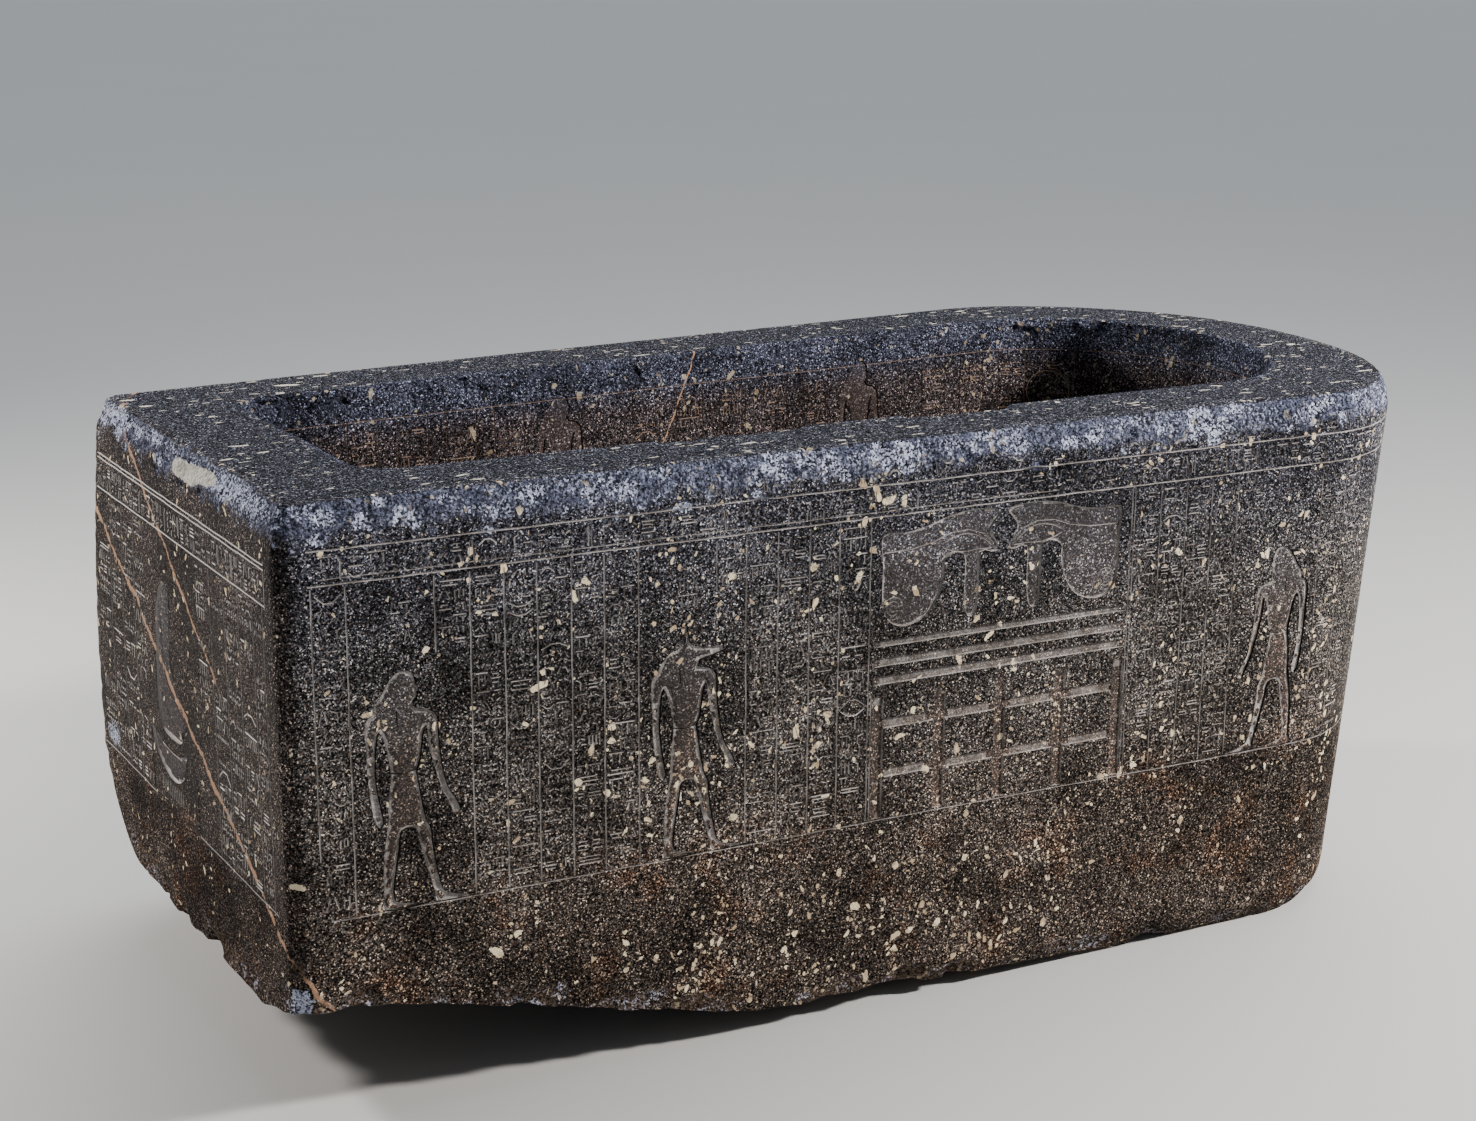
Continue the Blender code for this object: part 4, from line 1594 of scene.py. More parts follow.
class LevelSheet:
    """The sheet of the rim, the hollow's floor or the underside, inside one ring and outside another."""

    def __init__(self, outer: np.ndarray, keys: list[int], spacing: float) -> None:
        """Sets out the sheet's outer edge.

        Args:
            outer: The plan points of the ring round it.
            keys: Their numbers.
            spacing: Distance between loose points.
        """
        self.sheet = Sheet()
        self.outer = outer
        self.inner: np.ndarray | None = None
        self.spacing = spacing
        self.sheet.draw_line(outer, closed=True, keys=keys[:-1])
        low, high = outer.min(0), outer.max(0)
        self.sheet.scatter(Zone(low[0], high[0], low[1], high[1], spacing), random.Random(len(outer)))

    def open_at(self, inner: np.ndarray, keys: list[int]) -> None:
        """Leaves out what lies inside another ring."""
        self.inner = inner
        self.sheet.draw_line(inner, closed=True, keys=keys[:-1])

    def keep(self, spots: np.ndarray, clear: float) -> np.ndarray:
        """Which flat points lie on the face.

        Args:
            spots: The points.
            clear: How far from the rings they have to be.

        Returns:
            True for each that does.
        """
        good = inside_loop(spots, self.outer)
        rings = [self.outer]
        if self.inner is not None:
            good &= ~inside_loop(spots, self.inner)
            rings.append(self.inner)
        if clear > 0:
            for ring in rings:
                good &= away_from_path(spots, np.vstack([ring, ring[:1]])) > clear
        return good


@dataclass
class Flake:
    """A scoop struck out of the stone: an egg shape that lies mostly outside it."""

    spot: np.ndarray
    out: np.ndarray
    along: np.ndarray
    reach: float
    breadth: float
    depth: float
    fresh: float
    swell: float = 4.0
    rough: float = 0.10

    def strike(self, places: np.ndarray) -> tuple[np.ndarray, np.ndarray, np.ndarray]:
        """Pushes the points inside the scoop to its bottom.

        Args:
            places: The mesh's points, a row each.

        Returns:
            Which points are inside, where they go, and how far that is.
        """
        radius = self.swell * self.depth
        share = math.sqrt(1 - (1 - self.depth / radius) ** 2)
        half_widths = np.array((self.reach / share, self.breadth / share, radius))
        axes = np.stack([self.along, np.cross(self.out, self.along), self.out]) / half_widths[:, None]
        offset = places - (self.spot + self.out * (radius - self.depth))
        near = np.flatnonzero((offset * offset).sum(1) < max(self.reach, self.breadth, radius) ** 2 * 2)
        local = offset[near] @ axes.T
        size = 1 + self.rough * lumps(places[near], 0.016, self.depth * 900)
        local = local / size[:, None]
        run = axes @ -self.out
        b = local @ run
        c = (local * local).sum(1) - 1
        a = float(run @ run)
        inside = c < 0
        travel = (-b[inside] + np.sqrt(b[inside] ** 2 - a * c[inside])) / a
        near = near[inside]
        return near, places[near] - self.out * travel[:, None], travel


@dataclass(frozen=True)
class Breakage:
    """A larger break: where it is, which way it opens, which way it runs, and its sizes."""

    spot: Spot
    out: Spot
    along: Spot
    sizes: Spot
    fresh: float

    def flake(self) -> Flake:
        """The scoop that makes it."""
        out = np.array(self.out) / np.linalg.norm(self.out)
        along = np.array(self.along) - out * (np.array(self.along) @ out)
        spot = in_frame(*np.array(self.spot)[:, None])[0]
        return Flake(spot, out, along / np.linalg.norm(along), *self.sizes, self.fresh)


BREAKS = (
    Breakage((0.012, -0.548, 0.250), (-0.65, -0.75, -0.10), (0.0, 0.1, 1.0), (0.034, 0.044, 0.014), 1.6),
    Breakage((0.020, -0.540, 0.190), (-0.55, -0.75, -0.55), (0.0, 0.1, 1.0), (0.050, 0.050, 0.030), 0.0),
    Breakage((0.012, -0.548, 0.318), (-0.80, -0.60, 0.0), (0.0, 0.1, 1.0), (0.026, 0.018, 0.010), 0.0),
    Breakage((2.330, -0.655, 0.030), (0.15, -0.75, -0.65), (1.0, 0.2, 0.0), (0.060, 0.050, 0.026), 0.85),
    Breakage((1.500, -0.420, 1.168), (0.0, 0.70, 0.70), (1.0, 0.0, 0.0), (0.130, 0.050, 0.026), 0.12),
    Breakage((1.580, -0.423, 1.168), (0.0, 0.75, 0.65), (1.0, 0.0, 0.0), (0.045, 0.050, 0.026), 0.12),
    Breakage((0.870, -0.394, 1.168), (0.0, 0.70, 0.70), (1.0, 0.0, 0.0), (0.060, 0.036, 0.012), 0.12),
    Breakage((1.050, -0.401, 1.168), (0.0, 0.70, 0.70), (1.0, 0.0, 0.0), (0.110, 0.036, 0.008), 0.12),
    Breakage((0.012, -0.300, 1.150), (-0.75, 0.0, 0.66), (0.0, 1.0, 0.0), (0.170, 0.026, 0.008), 0.3),
)


@dataclass(frozen=True)
class Patch:
    """A stretch of the surface with a look of its own, as an egg shape round a spot."""

    spot: Spot
    reach: Spot

    def share(self, places: np.ndarray) -> np.ndarray:
        """How much each point belongs to it: 1 in the middle, 0 from its edge on."""
        offset = (places - in_frame(*np.array(self.spot)[:, None])) / np.array(self.reach)
        return np.clip(1 - np.linalg.norm(offset, axis=1), 0, 1)


PLASTER = (
    Patch((0.01, -0.060, 1.130), (0.07, 0.12, 0.028)), Patch((0.01, -0.150, 1.140), (0.07, 0.10, 0.020)),
)
PALE_BRUISES = (
    Patch((0.01, 0.420, 1.150), (0.05, 0.18, 0.022)), Patch((0.01, -0.320, 1.145), (0.06, 0.26, 0.026)),
    Patch((0.03, 0.530, 0.44), (0.06, 0.07, 0.04)),
)


def patched(patches: tuple[Patch, ...], places: np.ndarray) -> np.ndarray:
    """The strongest share of any patch at each point."""
    return np.max([patch.share(places) for patch in patches], axis=0)


@dataclass(frozen=True)
class EdgeWear:
    """Flakes along one edge: how often and how big."""

    spacing: float
    reach: Pair
    breadth: Pair
    depth: Pair
    fresh: float = 0.5


class Weather:
    """All that has happened to the block since it was carved."""

    arris = EdgeWear(0.0165, (0.016, 0.042), (0.011, 0.026), (0.0035, 0.0095), 0.45)
    skin = EdgeWear(0.026, (0.010, 0.026), (0.008, 0.016), (0.0015, 0.0040), 0.6)
    lip = EdgeWear(0.040, (0.012, 0.040), (0.008, 0.016), (0.002, 0.008), 0.10)
    below = EdgeWear(0.055, (0.016, 0.060), (0.010, 0.024), (0.0015, 0.006), 0.15)
    corner = EdgeWear(0.13, (0.008, 0.020), (0.004, 0.009), (0.0015, 0.004), 0.2)
    arris_band: Pair = (1.118, 1.158)
    skin_band: Pair = (1.092, 1.130)
    lip_band: Pair = (0.045, 0.008)
    below_band: Pair = (0.0, 0.025)
    corner_band: Pair = (0.30, 1.10)
    corner_reach = 0.012
    lean = 0.35
    full_break = 0.0025
    bruise_and_cool_highlight = 1.3
    face_ripples: tuple[Spot, ...] = ((0.0016, 0.42, 3), (0.0004, 0.07, 5))
    break_ripples: tuple[Spot, ...] = ((0.0014, 0.024, 9), (0.0010, 0.011, 10))
    worn_from = 1.112
    worn_waver = 0.022
    worn_ease = 0.014
    worn_share = 0.85
    rim_gap = 0.004

    def __init__(self, seed: int) -> None:
        """Starts its run of random numbers."""
        self.chance = random.Random(seed)
        self.flakes: list[Flake] = []

    def flake_at(self, face: Surface, along: float, up: float, wear: EdgeWear) -> Flake:
        """A flake on a face.

        Args:
            face: The face.
            along: Where along it.
            up: Where up it.
            wear: The sizes that it may have.

        Returns:
            The flake.
        """
        step = 0.002
        spots = face.place(np.array([along - step, along, along + step]), np.full(3, up))
        out = face.normals(np.array([along]), np.array([up]))[0]
        lean = np.array([self.chance.uniform(-self.lean, self.lean) for _ in range(3)])
        out = out + lean - out * (lean @ out)
        out = out / np.linalg.norm(out)
        run = spots[2] - spots[0]
        run = run - out * (run @ out)
        run = run / np.linalg.norm(run)
        sizes = [self.chance.uniform(*pair) for pair in (wear.reach, wear.breadth, wear.depth)]
        fresh = self.chance.random() ** 2 * 2 * wear.fresh
        return Flake(spots[1], out, run, *sizes, fresh)

    def strike_edge(self, face: Surface, ends: Pair, up: Callable, wear: EdgeWear) -> None:
        """Strikes flakes along an edge at uneven distances.

        Args:
            face: A face that runs over the edge.
            ends: Where the wear starts and ends along it.
            up: Gives the height of the edge, or of a random place near it, at a distance along it.
            wear: How often and how big.
        """
        along = ends[0]
        while along < ends[1]:
            self.flakes.append(self.flake_at(face, along, up(along), wear))
            along += wear.spacing * self.chance.uniform(0.5, 1.5)

    def prepare(self, outer: WallSheet, hollow: WallSheet) -> None:
        """Chooses every flake.

        Args:
            outer: The outside's sheet.
            hollow: The hollow's sheet.
        """
        face, top, pick = outer.face, hollow.face.top, self.chance.uniform
        outer_ends, hollow_ends = (outer.left, outer.right), (hollow.left, hollow.right)

        def on_lip(_: float) -> float:
            """A random height on the lip."""
            return pick(*(top - drop for drop in self.lip_band))

        def underside(along: float) -> float:
            """A random height just above the broken lower edge."""
            return float(np.interp(along, outer.foot.along, outer.foot.up)) + pick(*self.below_band)

        self.strike_edge(face, outer_ends, lambda _: pick(*self.arris_band), self.arris)
        self.strike_edge(face, outer_ends, lambda _: pick(*self.skin_band), self.skin)
        self.strike_edge(hollow.face, hollow_ends, on_lip, self.lip)
        self.strike_edge(face, outer_ends, underside, self.below)
        height, end = self.corner_band
        while height < end:
            for along in (0.0, outer.right):
                aside = pick(-self.corner_reach, self.corner_reach)
                self.flakes.append(self.flake_at(face, along + aside, height, self.corner))
            height += self.corner.spacing * pick(0.5, 1.5)
        self.flakes += [breakage.flake() for breakage in BREAKS]

    def wear_down(
        self, places: np.ndarray, normals: np.ndarray, outside: np.ndarray
    ) -> tuple[np.ndarray, np.ndarray]:
        """Strikes every flake and ripples the faces.

        Args:
            places: The mesh's points, which are moved.
            normals: Which way the stone faces at each.
            outside: Which points lie on the block's outside.

        Returns:
            How broken and how freshly broken the stone is at each point, from 0 to 1; the second rises
            towards the top of the arris, partly as painted highlight.
        """
        broken, bruise = np.zeros(len(places)), np.zeros(len(places))
        places -= normals * rippled(places, self.face_ripples)[:, None]
        for flake in self.flakes:
            struck, moved, travel = flake.strike(places)
            places[struck] = moved
            share = np.clip(travel / self.full_break, 0, 1)
            broken[struck] = np.maximum(broken[struck], share)
            bruise[struck] = np.maximum(bruise[struck], flake.fresh * share)
        x, _, z = places.T
        band = soft((z - self.worn_from - self.worn_waver * lumps(places, 0.07, 11)) / self.worn_ease)
        band *= outside * (z < FORM.height - self.rim_gap)
        broken = np.maximum(broken, self.worn_share * band)
        fresh = 0.18 * soft((x + 0.6) / 1.2) + 0.40 * lumps(places, 0.20, 12)
        # paler towards the top of the arris: partly fresh breaks, partly painted highlight where overhead
        # light falls on it
        fresh += 0.26 * soft((z - 1.138) / 0.024) - 0.26
        bruise = np.maximum(bruise, fresh * band)
        places -= normals * (broken * rippled(places, self.break_ripples))[:, None]
        bruise = np.maximum(bruise, self.bruise_and_cool_highlight * patched(PALE_BRUISES, places))
        return broken, np.clip(bruise, 0, 1)


class Block:
    """Joins the nets of all faces into one closed mesh."""

    def __init__(self) -> None:
        """Starts with no points."""
        self.places: list[np.ndarray] = []
        self.normals: list[np.ndarray] = []
        self.relief: list[np.ndarray] = []
        self.edges: list[np.ndarray] = []
        self.parts: list[np.ndarray] = []
        self.triangles: list[np.ndarray] = []
        self.shades: list[np.ndarray] = []
        self.shared: dict[int, int] = {}
        self.count = 0

    def add(self, surface: Surface, net: Net) -> None:
        """Bends a net onto its face and joins it to what is there.

        Args:
            surface: The face.
            net: Its net.
        """
        used = np.zeros(len(net.spots), bool)
        used[net.triangles] = True
        index = np.full(len(net.spots), -1)
        for spot in np.flatnonzero(used & (net.keys >= 0)).tolist():
            index[spot] = self.shared.get(int(net.keys[spot]), -1)
        fresh = np.flatnonzero(used & (index < 0))
        first_of_key: dict[int, int] = {}
        kept = []
        for spot in fresh.tolist():
            key = int(net.keys[spot])
            if key >= 0 and key in first_of_key:
                index[spot] = first_of_key[key]
                continue
            index[spot] = self.count + len(kept)
            if key >= 0:
                first_of_key[key] = self.shared[key] = int(index[spot])
            kept.append(spot)
        along, up = net.spots[kept].T
        self.places.append(surface.place(along, up))
        self.normals.append(surface.normals(along, up))
        self.relief.append((net.cut + net.sunk)[kept])
        self.edges.append(net.edge[kept])
        self.parts.append(np.full(len(kept), surface.part.value))
        self.count += len(kept)
        triangles = index[net.triangles]
        self.triangles.append(triangles if surface.outward > 0 else triangles[:, ::-1])
        self.shades.append(np.stack([net.paleness_and_painted_shadow, net.in_field], axis=1))

    def build(self, name: str, weather: Weather) -> bpy.types.Object:
        """Makes the mesh.

        Args:
            name: The object's name.
            weather: What happens to the stone.

        Returns:
            The object.
        """
        places, normals = np.vstack(self.places), np.vstack(self.normals)
        places = places - normals * np.concatenate(self.relief)[:, None]
        parts = np.concatenate(self.parts)
        broken, bruise = weather.wear_down(places, normals, parts == Part.SIDE.value)
        places = np.clip(places, np.array(CAD_LOW) + 1e-5, np.array(CAD_HIGH) - 1e-5)
        mesh = bpy.data.meshes.new(name)
        triangles = np.vstack(self.triangles)
        mesh.from_pydata(places.tolist(), [], triangles.tolist())
        cut, sunk = np.repeat(np.vstack(self.shades), 3, axis=0).T
        # cut holds the chisel's paleness, and painted shadow on walls where it is negative
        corners = {"cut": cut, "sunk": sunk}
        # edge carries a painted highlight along the feet of field walls
        points = {
            "broken": broken, "bruise": bruise, "plaster": patched(PLASTER, places),
            "edge": np.concatenate(self.edges), "rim": parts == Part.RIM.value,
            "hollow": parts == Part.HOLLOW.value,
        }
        for domain, layers in (("CORNER", corners), ("POINT", points)):
            for label, values in layers.items():
                layer = mesh.attributes.new(label, "FLOAT", domain)
                layer.data.foreach_set("value", values.astype(np.float32))
        piece = bpy.data.objects.new(name, mesh)
        bpy.context.scene.collection.objects.link(piece)
        return piece


@dataclass
class StoneChest:
    """The chest: every face netted, carved and joined into one block."""

    name: str = "stone_chest"
    seed: int = 21
    face_spacing: float = 0.021
    dado_spacing: float = 0.016
    back_spacing: float = 0.024
    inner_spacing: float = 0.036
    edge_spacing: float = 0.0090
    rim_spacing: float = 0.017
    floor_spacing: float = 0.045
    bed_spacing: float = 0.040
    edge_start: float = 1.072
    ring_gap: float = 0.004
    round_back: float = 0.25
    hollow_key: int = 10000
    smooth_angle: float = math.radians(32)

    def outside(self) -> WallSheet:
        """The outside's sheet, strewn with points and carved."""
        wall = WallSheet(OuterFace(), FORM.outer, 0)
        sheet, chance = wall.sheet, random.Random(self.seed)
        front_end, top = Carving.front_end + self.round_back, wall.face.top
        edge, base = self.edge_start, FORM.base_line
        sheet.scatter(Zone(wall.left, wall.right, edge, top - self.ring_gap, self.edge_spacing), chance)
        sheet.scatter(Zone(wall.left, front_end, base, edge, self.face_spacing), chance)
        sheet.scatter(Zone(wall.left, front_end, 0.0, base, self.dado_spacing), chance)
        sheet.scatter(Zone(front_end, wall.right, 0.0, edge, self.back_spacing), chance)
        carving = Carving()
        sheet.carve(carving.front() + carving.foot() + carving.head() + carving.back())
        return wall

    def inside(self) -> WallSheet:
        """The hollow's sheet."""
        wall = WallSheet(HollowFace(), FORM.hollow, self.hollow_key)
        chance = random.Random(self.seed + 1)
        edge, top = wall.face.fillet + wall.face.wall - 0.02, wall.face.top
        bands = ((edge, top - self.ring_gap, self.edge_spacing), (0.0, edge, self.inner_spacing))
        for band in bands:
            wall.sheet.scatter(Zone(wall.left, wall.right, *band), chance)
        wall.sheet.carve(Carving().hollow())
        return wall

    def rim(self, outer: WallSheet, hollow: WallSheet) -> LevelSheet:
        """The rim's sheet, with the shallow lines scratched along it.

        Args:
            outer: The outside's sheet.
            hollow: The hollow's sheet.

        Returns:
            The sheet.
        """
        level = LevelSheet(outer.plan_of(outer.top), outer.top.keys, self.rim_spacing)
        level.open_at(hollow.plan_of(hollow.top), hollow.top.keys)
        level.sheet.carve(Carving().rim())
        return level

    def build(self) -> bpy.types.Object:
        """Nets every face, joins them and weathers the block.

        Returns:
            The chest.
        """
        outer, hollow = self.outside(), self.inside()
        floor = LevelSheet(hollow.plan_of(hollow.foot), hollow.foot.keys, self.floor_spacing)
        bed = LevelSheet(outer.plan_of(outer.foot), outer.foot.keys, self.bed_spacing)
        sheets = {
            "outside": (outer, outer.face), "hollow": (hollow, hollow.face),
            "rim": (self.rim(outer, hollow), LevelFace(FORM.height, Part.RIM)),
            "floor": (floor, LevelFace(FORM.hollow_floor, Part.FLOOR)), "underside": (bed, BedFace()),
        }
        block = Block()
        for label, (side, face) in sheets.items():
            net = side.sheet.net(side.keep)
            block.add(face, net)
            LOG.info("%s: %d triangles", label, len(net.triangles))
        weather = Weather(self.seed)
        weather.prepare(outer, hollow)
        piece = block.build(self.name, weather)
        bpy.ops.object.select_all(action="DESELECT")
        bpy.context.view_layer.objects.active = piece
        piece.select_set(True)
        bpy.ops.object.shade_smooth_by_angle(angle=self.smooth_angle)
        piece.select_set(False)
        return piece


# ----------------------------------------------------------------------------------------------- finishes


class Wire:
    """A value or a colour that runs through a material. A sum written on it adds a node."""

    def __init__(self, graph: "Graph", socket: bpy.types.NodeSocket) -> None:
        """Takes the output that carries it."""
        self.graph, self.socket = graph, socket

    def __add__(self, other: object) -> "Wire":
        """The sum."""
        return self.graph.math("ADD", self, other)

    def __sub__(self, other: object) -> "Wire":
        """The difference."""
        return self.graph.math("SUBTRACT", self, other)

    def __mul__(self, other: object) -> "Wire":
        """The product."""
        return self.graph.math("MULTIPLY", self, other)

    def __truediv__(self, other: object) -> "Wire":
        """The quotient."""
        return self.graph.math("DIVIDE", self, other)

    def clamped(self) -> "Wire":
        """The same value, held between 0 and 1."""
        return self.graph.math("ADD", self, 0.0, clamp=True)

    def scaled(self, amount: object) -> "Wire":
        """All three parts times one amount."""
        return self.graph.vector("SCALE", self, amount)

    def tinted(self, tint: object) -> "Wire":
        """Each part times its own share."""
        return self.graph.vector("MULTIPLY", self, tint)

    def parts(self) -> list["Wire"]:
        """The three parts of a colour or a place."""
        made = self.graph.node("ShaderNodeSeparateXYZ", {"Vector": self})
        return [Wire(self.graph, socket) for socket in made.outputs]

    def step(self, low: float, high: float, start: float = 0.0, end: float = 1.0) -> "Wire":
        """A smooth step driven by the value.

        Args:
            low: Where it starts.
            high: Where it ends.
            start: The result up to low.
            end: The result from high on.

        Returns:
            The result.
        """
        inputs = {"Value": self, "From Min": low, "From Max": high, "To Min": start, "To Max": end}
        return self.graph.wire("ShaderNodeMapRange", inputs, interpolation_type="SMOOTHSTEP")


class Graph:
    """Lays out the nodes of one material."""

    def __init__(self, name: str) -> None:
        """Starts an empty material under a name."""
        self.material = bpy.data.materials.new(name)
        self.material.use_nodes = True
        self.tree = self.material.node_tree
        self.tree.nodes.clear()
        self.place = self.wire("ShaderNodeTexCoord", output="Object")

    def node(self, kind: str, inputs: dict | None = None, **settings) -> bpy.types.Node:
        """Adds a node.

        Args:
            kind: Its type.
            inputs: What goes into its sockets, by name or number: a value or a wire.
            **settings: Its own settings.

        Returns:
            The node.
        """
        made = self.tree.nodes.new(kind)
        for key, value in settings.items():
            setattr(made, key, value)
        for key, value in (inputs or {}).items():
            self.feed(made.inputs[key], value)
        return made

    def wire(self, kind: str, inputs: dict | None = None, output: object = 0, **settings) -> Wire:
        """Adds a node and takes one of its outputs, by name or number."""
        return Wire(self, self.node(kind, inputs, **settings).outputs[output])

    def feed(self, socket: bpy.types.NodeSocket, value: object) -> None:
        """Joins a wire to a socket, or sets the socket's value."""
        if isinstance(value, Wire):
            self.tree.links.new(value.socket, socket)
        elif socket.type == "RGBA":
            socket.default_value = (*value, 1)
        else:
            socket.default_value = value

    def math(self, operation: str, *values: object, clamp: bool = False) -> Wire:
        """One sum on values."""
        return self.wire("ShaderNodeMath", dict(enumerate(values)), operation=operation, use_clamp=clamp)

    def vector(self, operation: str, first: object, second: object = None) -> Wire:
        """One sum on colours or places."""
        inputs = {0: first}
        if second is not None:
            inputs["Scale" if operation == "SCALE" else 1] = second
        output = "Value" if operation in ("DOT_PRODUCT", "LENGTH") else "Vector"
        return self.wire("ShaderNodeVectorMath", inputs, output, operation=operation)

    def most(self, first: Wire, *others: Wire) -> Wire:
        """The greatest of several values."""
        for other in others:
            first = self.math("MAXIMUM", first, other)
        return first

    def mix(self, share: object, first: object, second: object) -> Wire:
        """A colour between two others."""
        return self.wire("ShaderNodeMix", {0: share, 6: first, 7: second}, 2, data_type="RGBA")

    def steps(self, value: Wire, stops: tuple[tuple[float, Colour], ...]) -> Wire:
        """A colour that jumps from stop to stop.

        Args:
            value: What drives it.
            stops: Where each colour starts, and the colour.

        Returns:
            The colour.
        """
        made = self.node("ShaderNodeValToRGB", {"Fac": value})
        made.color_ramp.interpolation = "CONSTANT"
        elements = made.color_ramp.elements
        while len(elements) > 1:
            elements.remove(elements[-1])
        elements[0].position, elements[0].color = stops[0][0], (*stops[0][1], 1)
        for place, colour in stops[1:]:
            elements.new(place).color = (*colour, 1)
        return Wire(self, made.outputs["Color"])

    def clouds(self, place: Wire, size: float, detail: float = 2.0, rough: float = 0.5) -> Wire:
        """Smooth noise from 0 to 1.

        Args:
            place: Where it is read.
            size: Width of a cloud.
            detail: How many finer layers it has.
            rough: Their strength.

        Returns:
            The noise.
        """
        inputs = {"Vector": place, "Scale": 1 / size, "Detail": detail, "Roughness": rough}
        return self.wire("ShaderNodeTexNoise", inputs, "Fac")

    def shaken(self, place: Wire, scale: float, reach: float) -> Wire:
        """Places moved about by noise of a scale, up to half a reach."""
        inputs = {"Vector": place, "Scale": scale, "Detail": 3.0}
        shake = self.vector("SUBTRACT", self.wire("ShaderNodeTexNoise", inputs, "Color"), (0.5, 0.5, 0.5))
        return self.vector("ADD", place, shake.scaled(reach))

    def cells(self, place: Wire, size: float) -> tuple[Wire, Wire, Wire]:
        """Irregular cells: a colour of each cell's own, its middle, and how far that is away."""
        made = self.node("ShaderNodeTexVoronoi", {"Vector": place, "Scale": 1 / size})
        return tuple(Wire(self, made.outputs[name]) for name in ("Color", "Position", "Distance"))

    def attribute(self, name: str) -> Wire:
        """A value stored on the mesh."""
        return self.wire("ShaderNodeAttribute", output="Fac", attribute_name=name)

    def shader(self, **inputs: object) -> None:
        """Ends the material in one shader.

        Args:
            **inputs: What goes into it, with low lines for the spaces in the sockets' names.
        """
        made = self.node("ShaderNodeBsdfPrincipled", {key.replace("_", " "): inputs[key] for key in inputs})
        output = self.node("ShaderNodeOutputMaterial")
        self.tree.links.new(made.outputs[0], output.inputs["Surface"])


@dataclass(frozen=True)
class Vein:
    """A thin orange vein: its plane, its width, how far back it starts and how low it runs."""

    normal: Spot
    place: float
    width: float
    behind: float = -2.0
    above: float = -1.0


@dataclass(frozen=True)
class Palette:
    """The stone's colours, and the tints that other colours are multiplied by."""

    grains: tuple[tuple[float, Colour], ...] = (
        (0.0, (0.0028, 0.0027, 0.0030)), (0.20, (0.0090, 0.0085, 0.0087)), (0.38, (0.025, 0.0235, 0.023)),
        (0.56, (0.053, 0.050, 0.049)), (0.73, (0.100, 0.096, 0.096)), (0.84, (0.066, 0.043, 0.030)),
        (0.90, (0.175, 0.160, 0.145)), (0.955, (0.40, 0.365, 0.32)),
    )
    plain: Colour = (1.0, 1.0, 1.0)
    # painted light: the cool tint of overhead light on the upper faces
    painted_cool_light_tint: Colour = (0.84, 0.95, 1.28)
    low_tint: Colour = (1.13, 0.99, 0.88)
    foot_tint: Colour = (0.84, 0.72, 0.67)
    rust_tint: Colour = (1.55, 1.08, 0.80)
    pecked_tints: tuple[Colour, Colour] = ((1.15, 1.16, 1.22), (1.42, 1.20, 1.08))
    pecked_dust: Colour = (0.110, 0.098, 0.092)
    foot_dust: Colour = (0.088, 0.094, 0.110)
    rim_gloss: Colour = (0.0060, 0.0075, 0.0100)
    rim_tint: Colour = (0.66, 0.74, 0.98)
    hollow_tints: tuple[Colour, Colour] = ((0.92, 0.77, 0.69), (0.88, 0.95, 1.15))
    crystals: tuple[Colour, Colour] = ((0.42, 0.32, 0.20), (0.84, 0.72, 0.50))
    rim_crystal: Colour = (0.62, 0.62, 0.60)
    vein: Colour = (0.50, 0.30, 0.19)
    chiselled: tuple[Colour, Colour] = ((0.26, 0.235, 0.215), (0.48, 0.455, 0.445))
    # partly chisel paleness, partly painted highlight where raking light would catch the walls of the
    # foot's cuts
    foot_cuts_pale_and_lit: Colour = (0.62, 0.60, 0.58)
    hollow_chiselled: Colour = (0.28, 0.19, 0.135)
    rim_chiselled: Colour = (0.018, 0.014, 0.012)
    shadow: Colour = (0.004, 0.0035, 0.0035)
    # The upper broken stone and the bruises are bluish partly as painted cool highlight from overhead,
    # partly as the pale of struck stone.
    broken_high: tuple[Colour, Colour] = ((0.010, 0.012, 0.019), (0.150, 0.168, 0.262))
    broken_low: tuple[Colour, Colour] = ((0.008, 0.006, 0.005), (0.115, 0.080, 0.056))
    bruise_and_cool_highlight: tuple[Colour, Colour] = ((0.11, 0.125, 0.19), (0.58, 0.63, 0.80))
    mortar: tuple[Colour, Colour] = ((0.40, 0.38, 0.32), (0.62, 0.61, 0.57))


@dataclass(frozen=True)
class Bands:
    """Where the stone's look changes: the start and the end of each change, and from what to what.

    The last two are how gradually a vein sets in, from the front backwards and from below upwards.
    """

    foot: Pair = (-1.33, -1.36)
    # bluer: the heights where the painted cool light from overhead sets in
    bluer: Steps = (0.70, 1.10, 0.0, 0.8)
    browner: Steps = (0.75, 0.25, 0.0, 0.9)
    rusty: Steps = (0.50, 0.38, 0.0, 0.7)
    shaded_along: Pair = (0.1, 0.7)
    shaded_below: Pair = (0.44, 0.36)
    pecked: Pair = (0.80, 0.62)
    hollow: Pair = (1.04, 1.12)
    dense_below: Pair = (0.36, 0.24)
    dense_from: Pair = (-0.80, -0.35)
    dense_to: Pair = (0.42, 0.02)
    sparse_foot: Steps = (-1.36, -1.33, 0.3, 1.0)
    broken: Pair = (0.30, 0.60)
    rough_below: Steps = (0.42, 0.38, 0.50, 0.75)
    fresh: Steps = (0.34, 0.98, 0.0, 0.92)
    filled: Steps = (0.30, 0.36, 0.0, 0.95)
    vein_start: float = 0.06
    vein_rise: float = 0.14


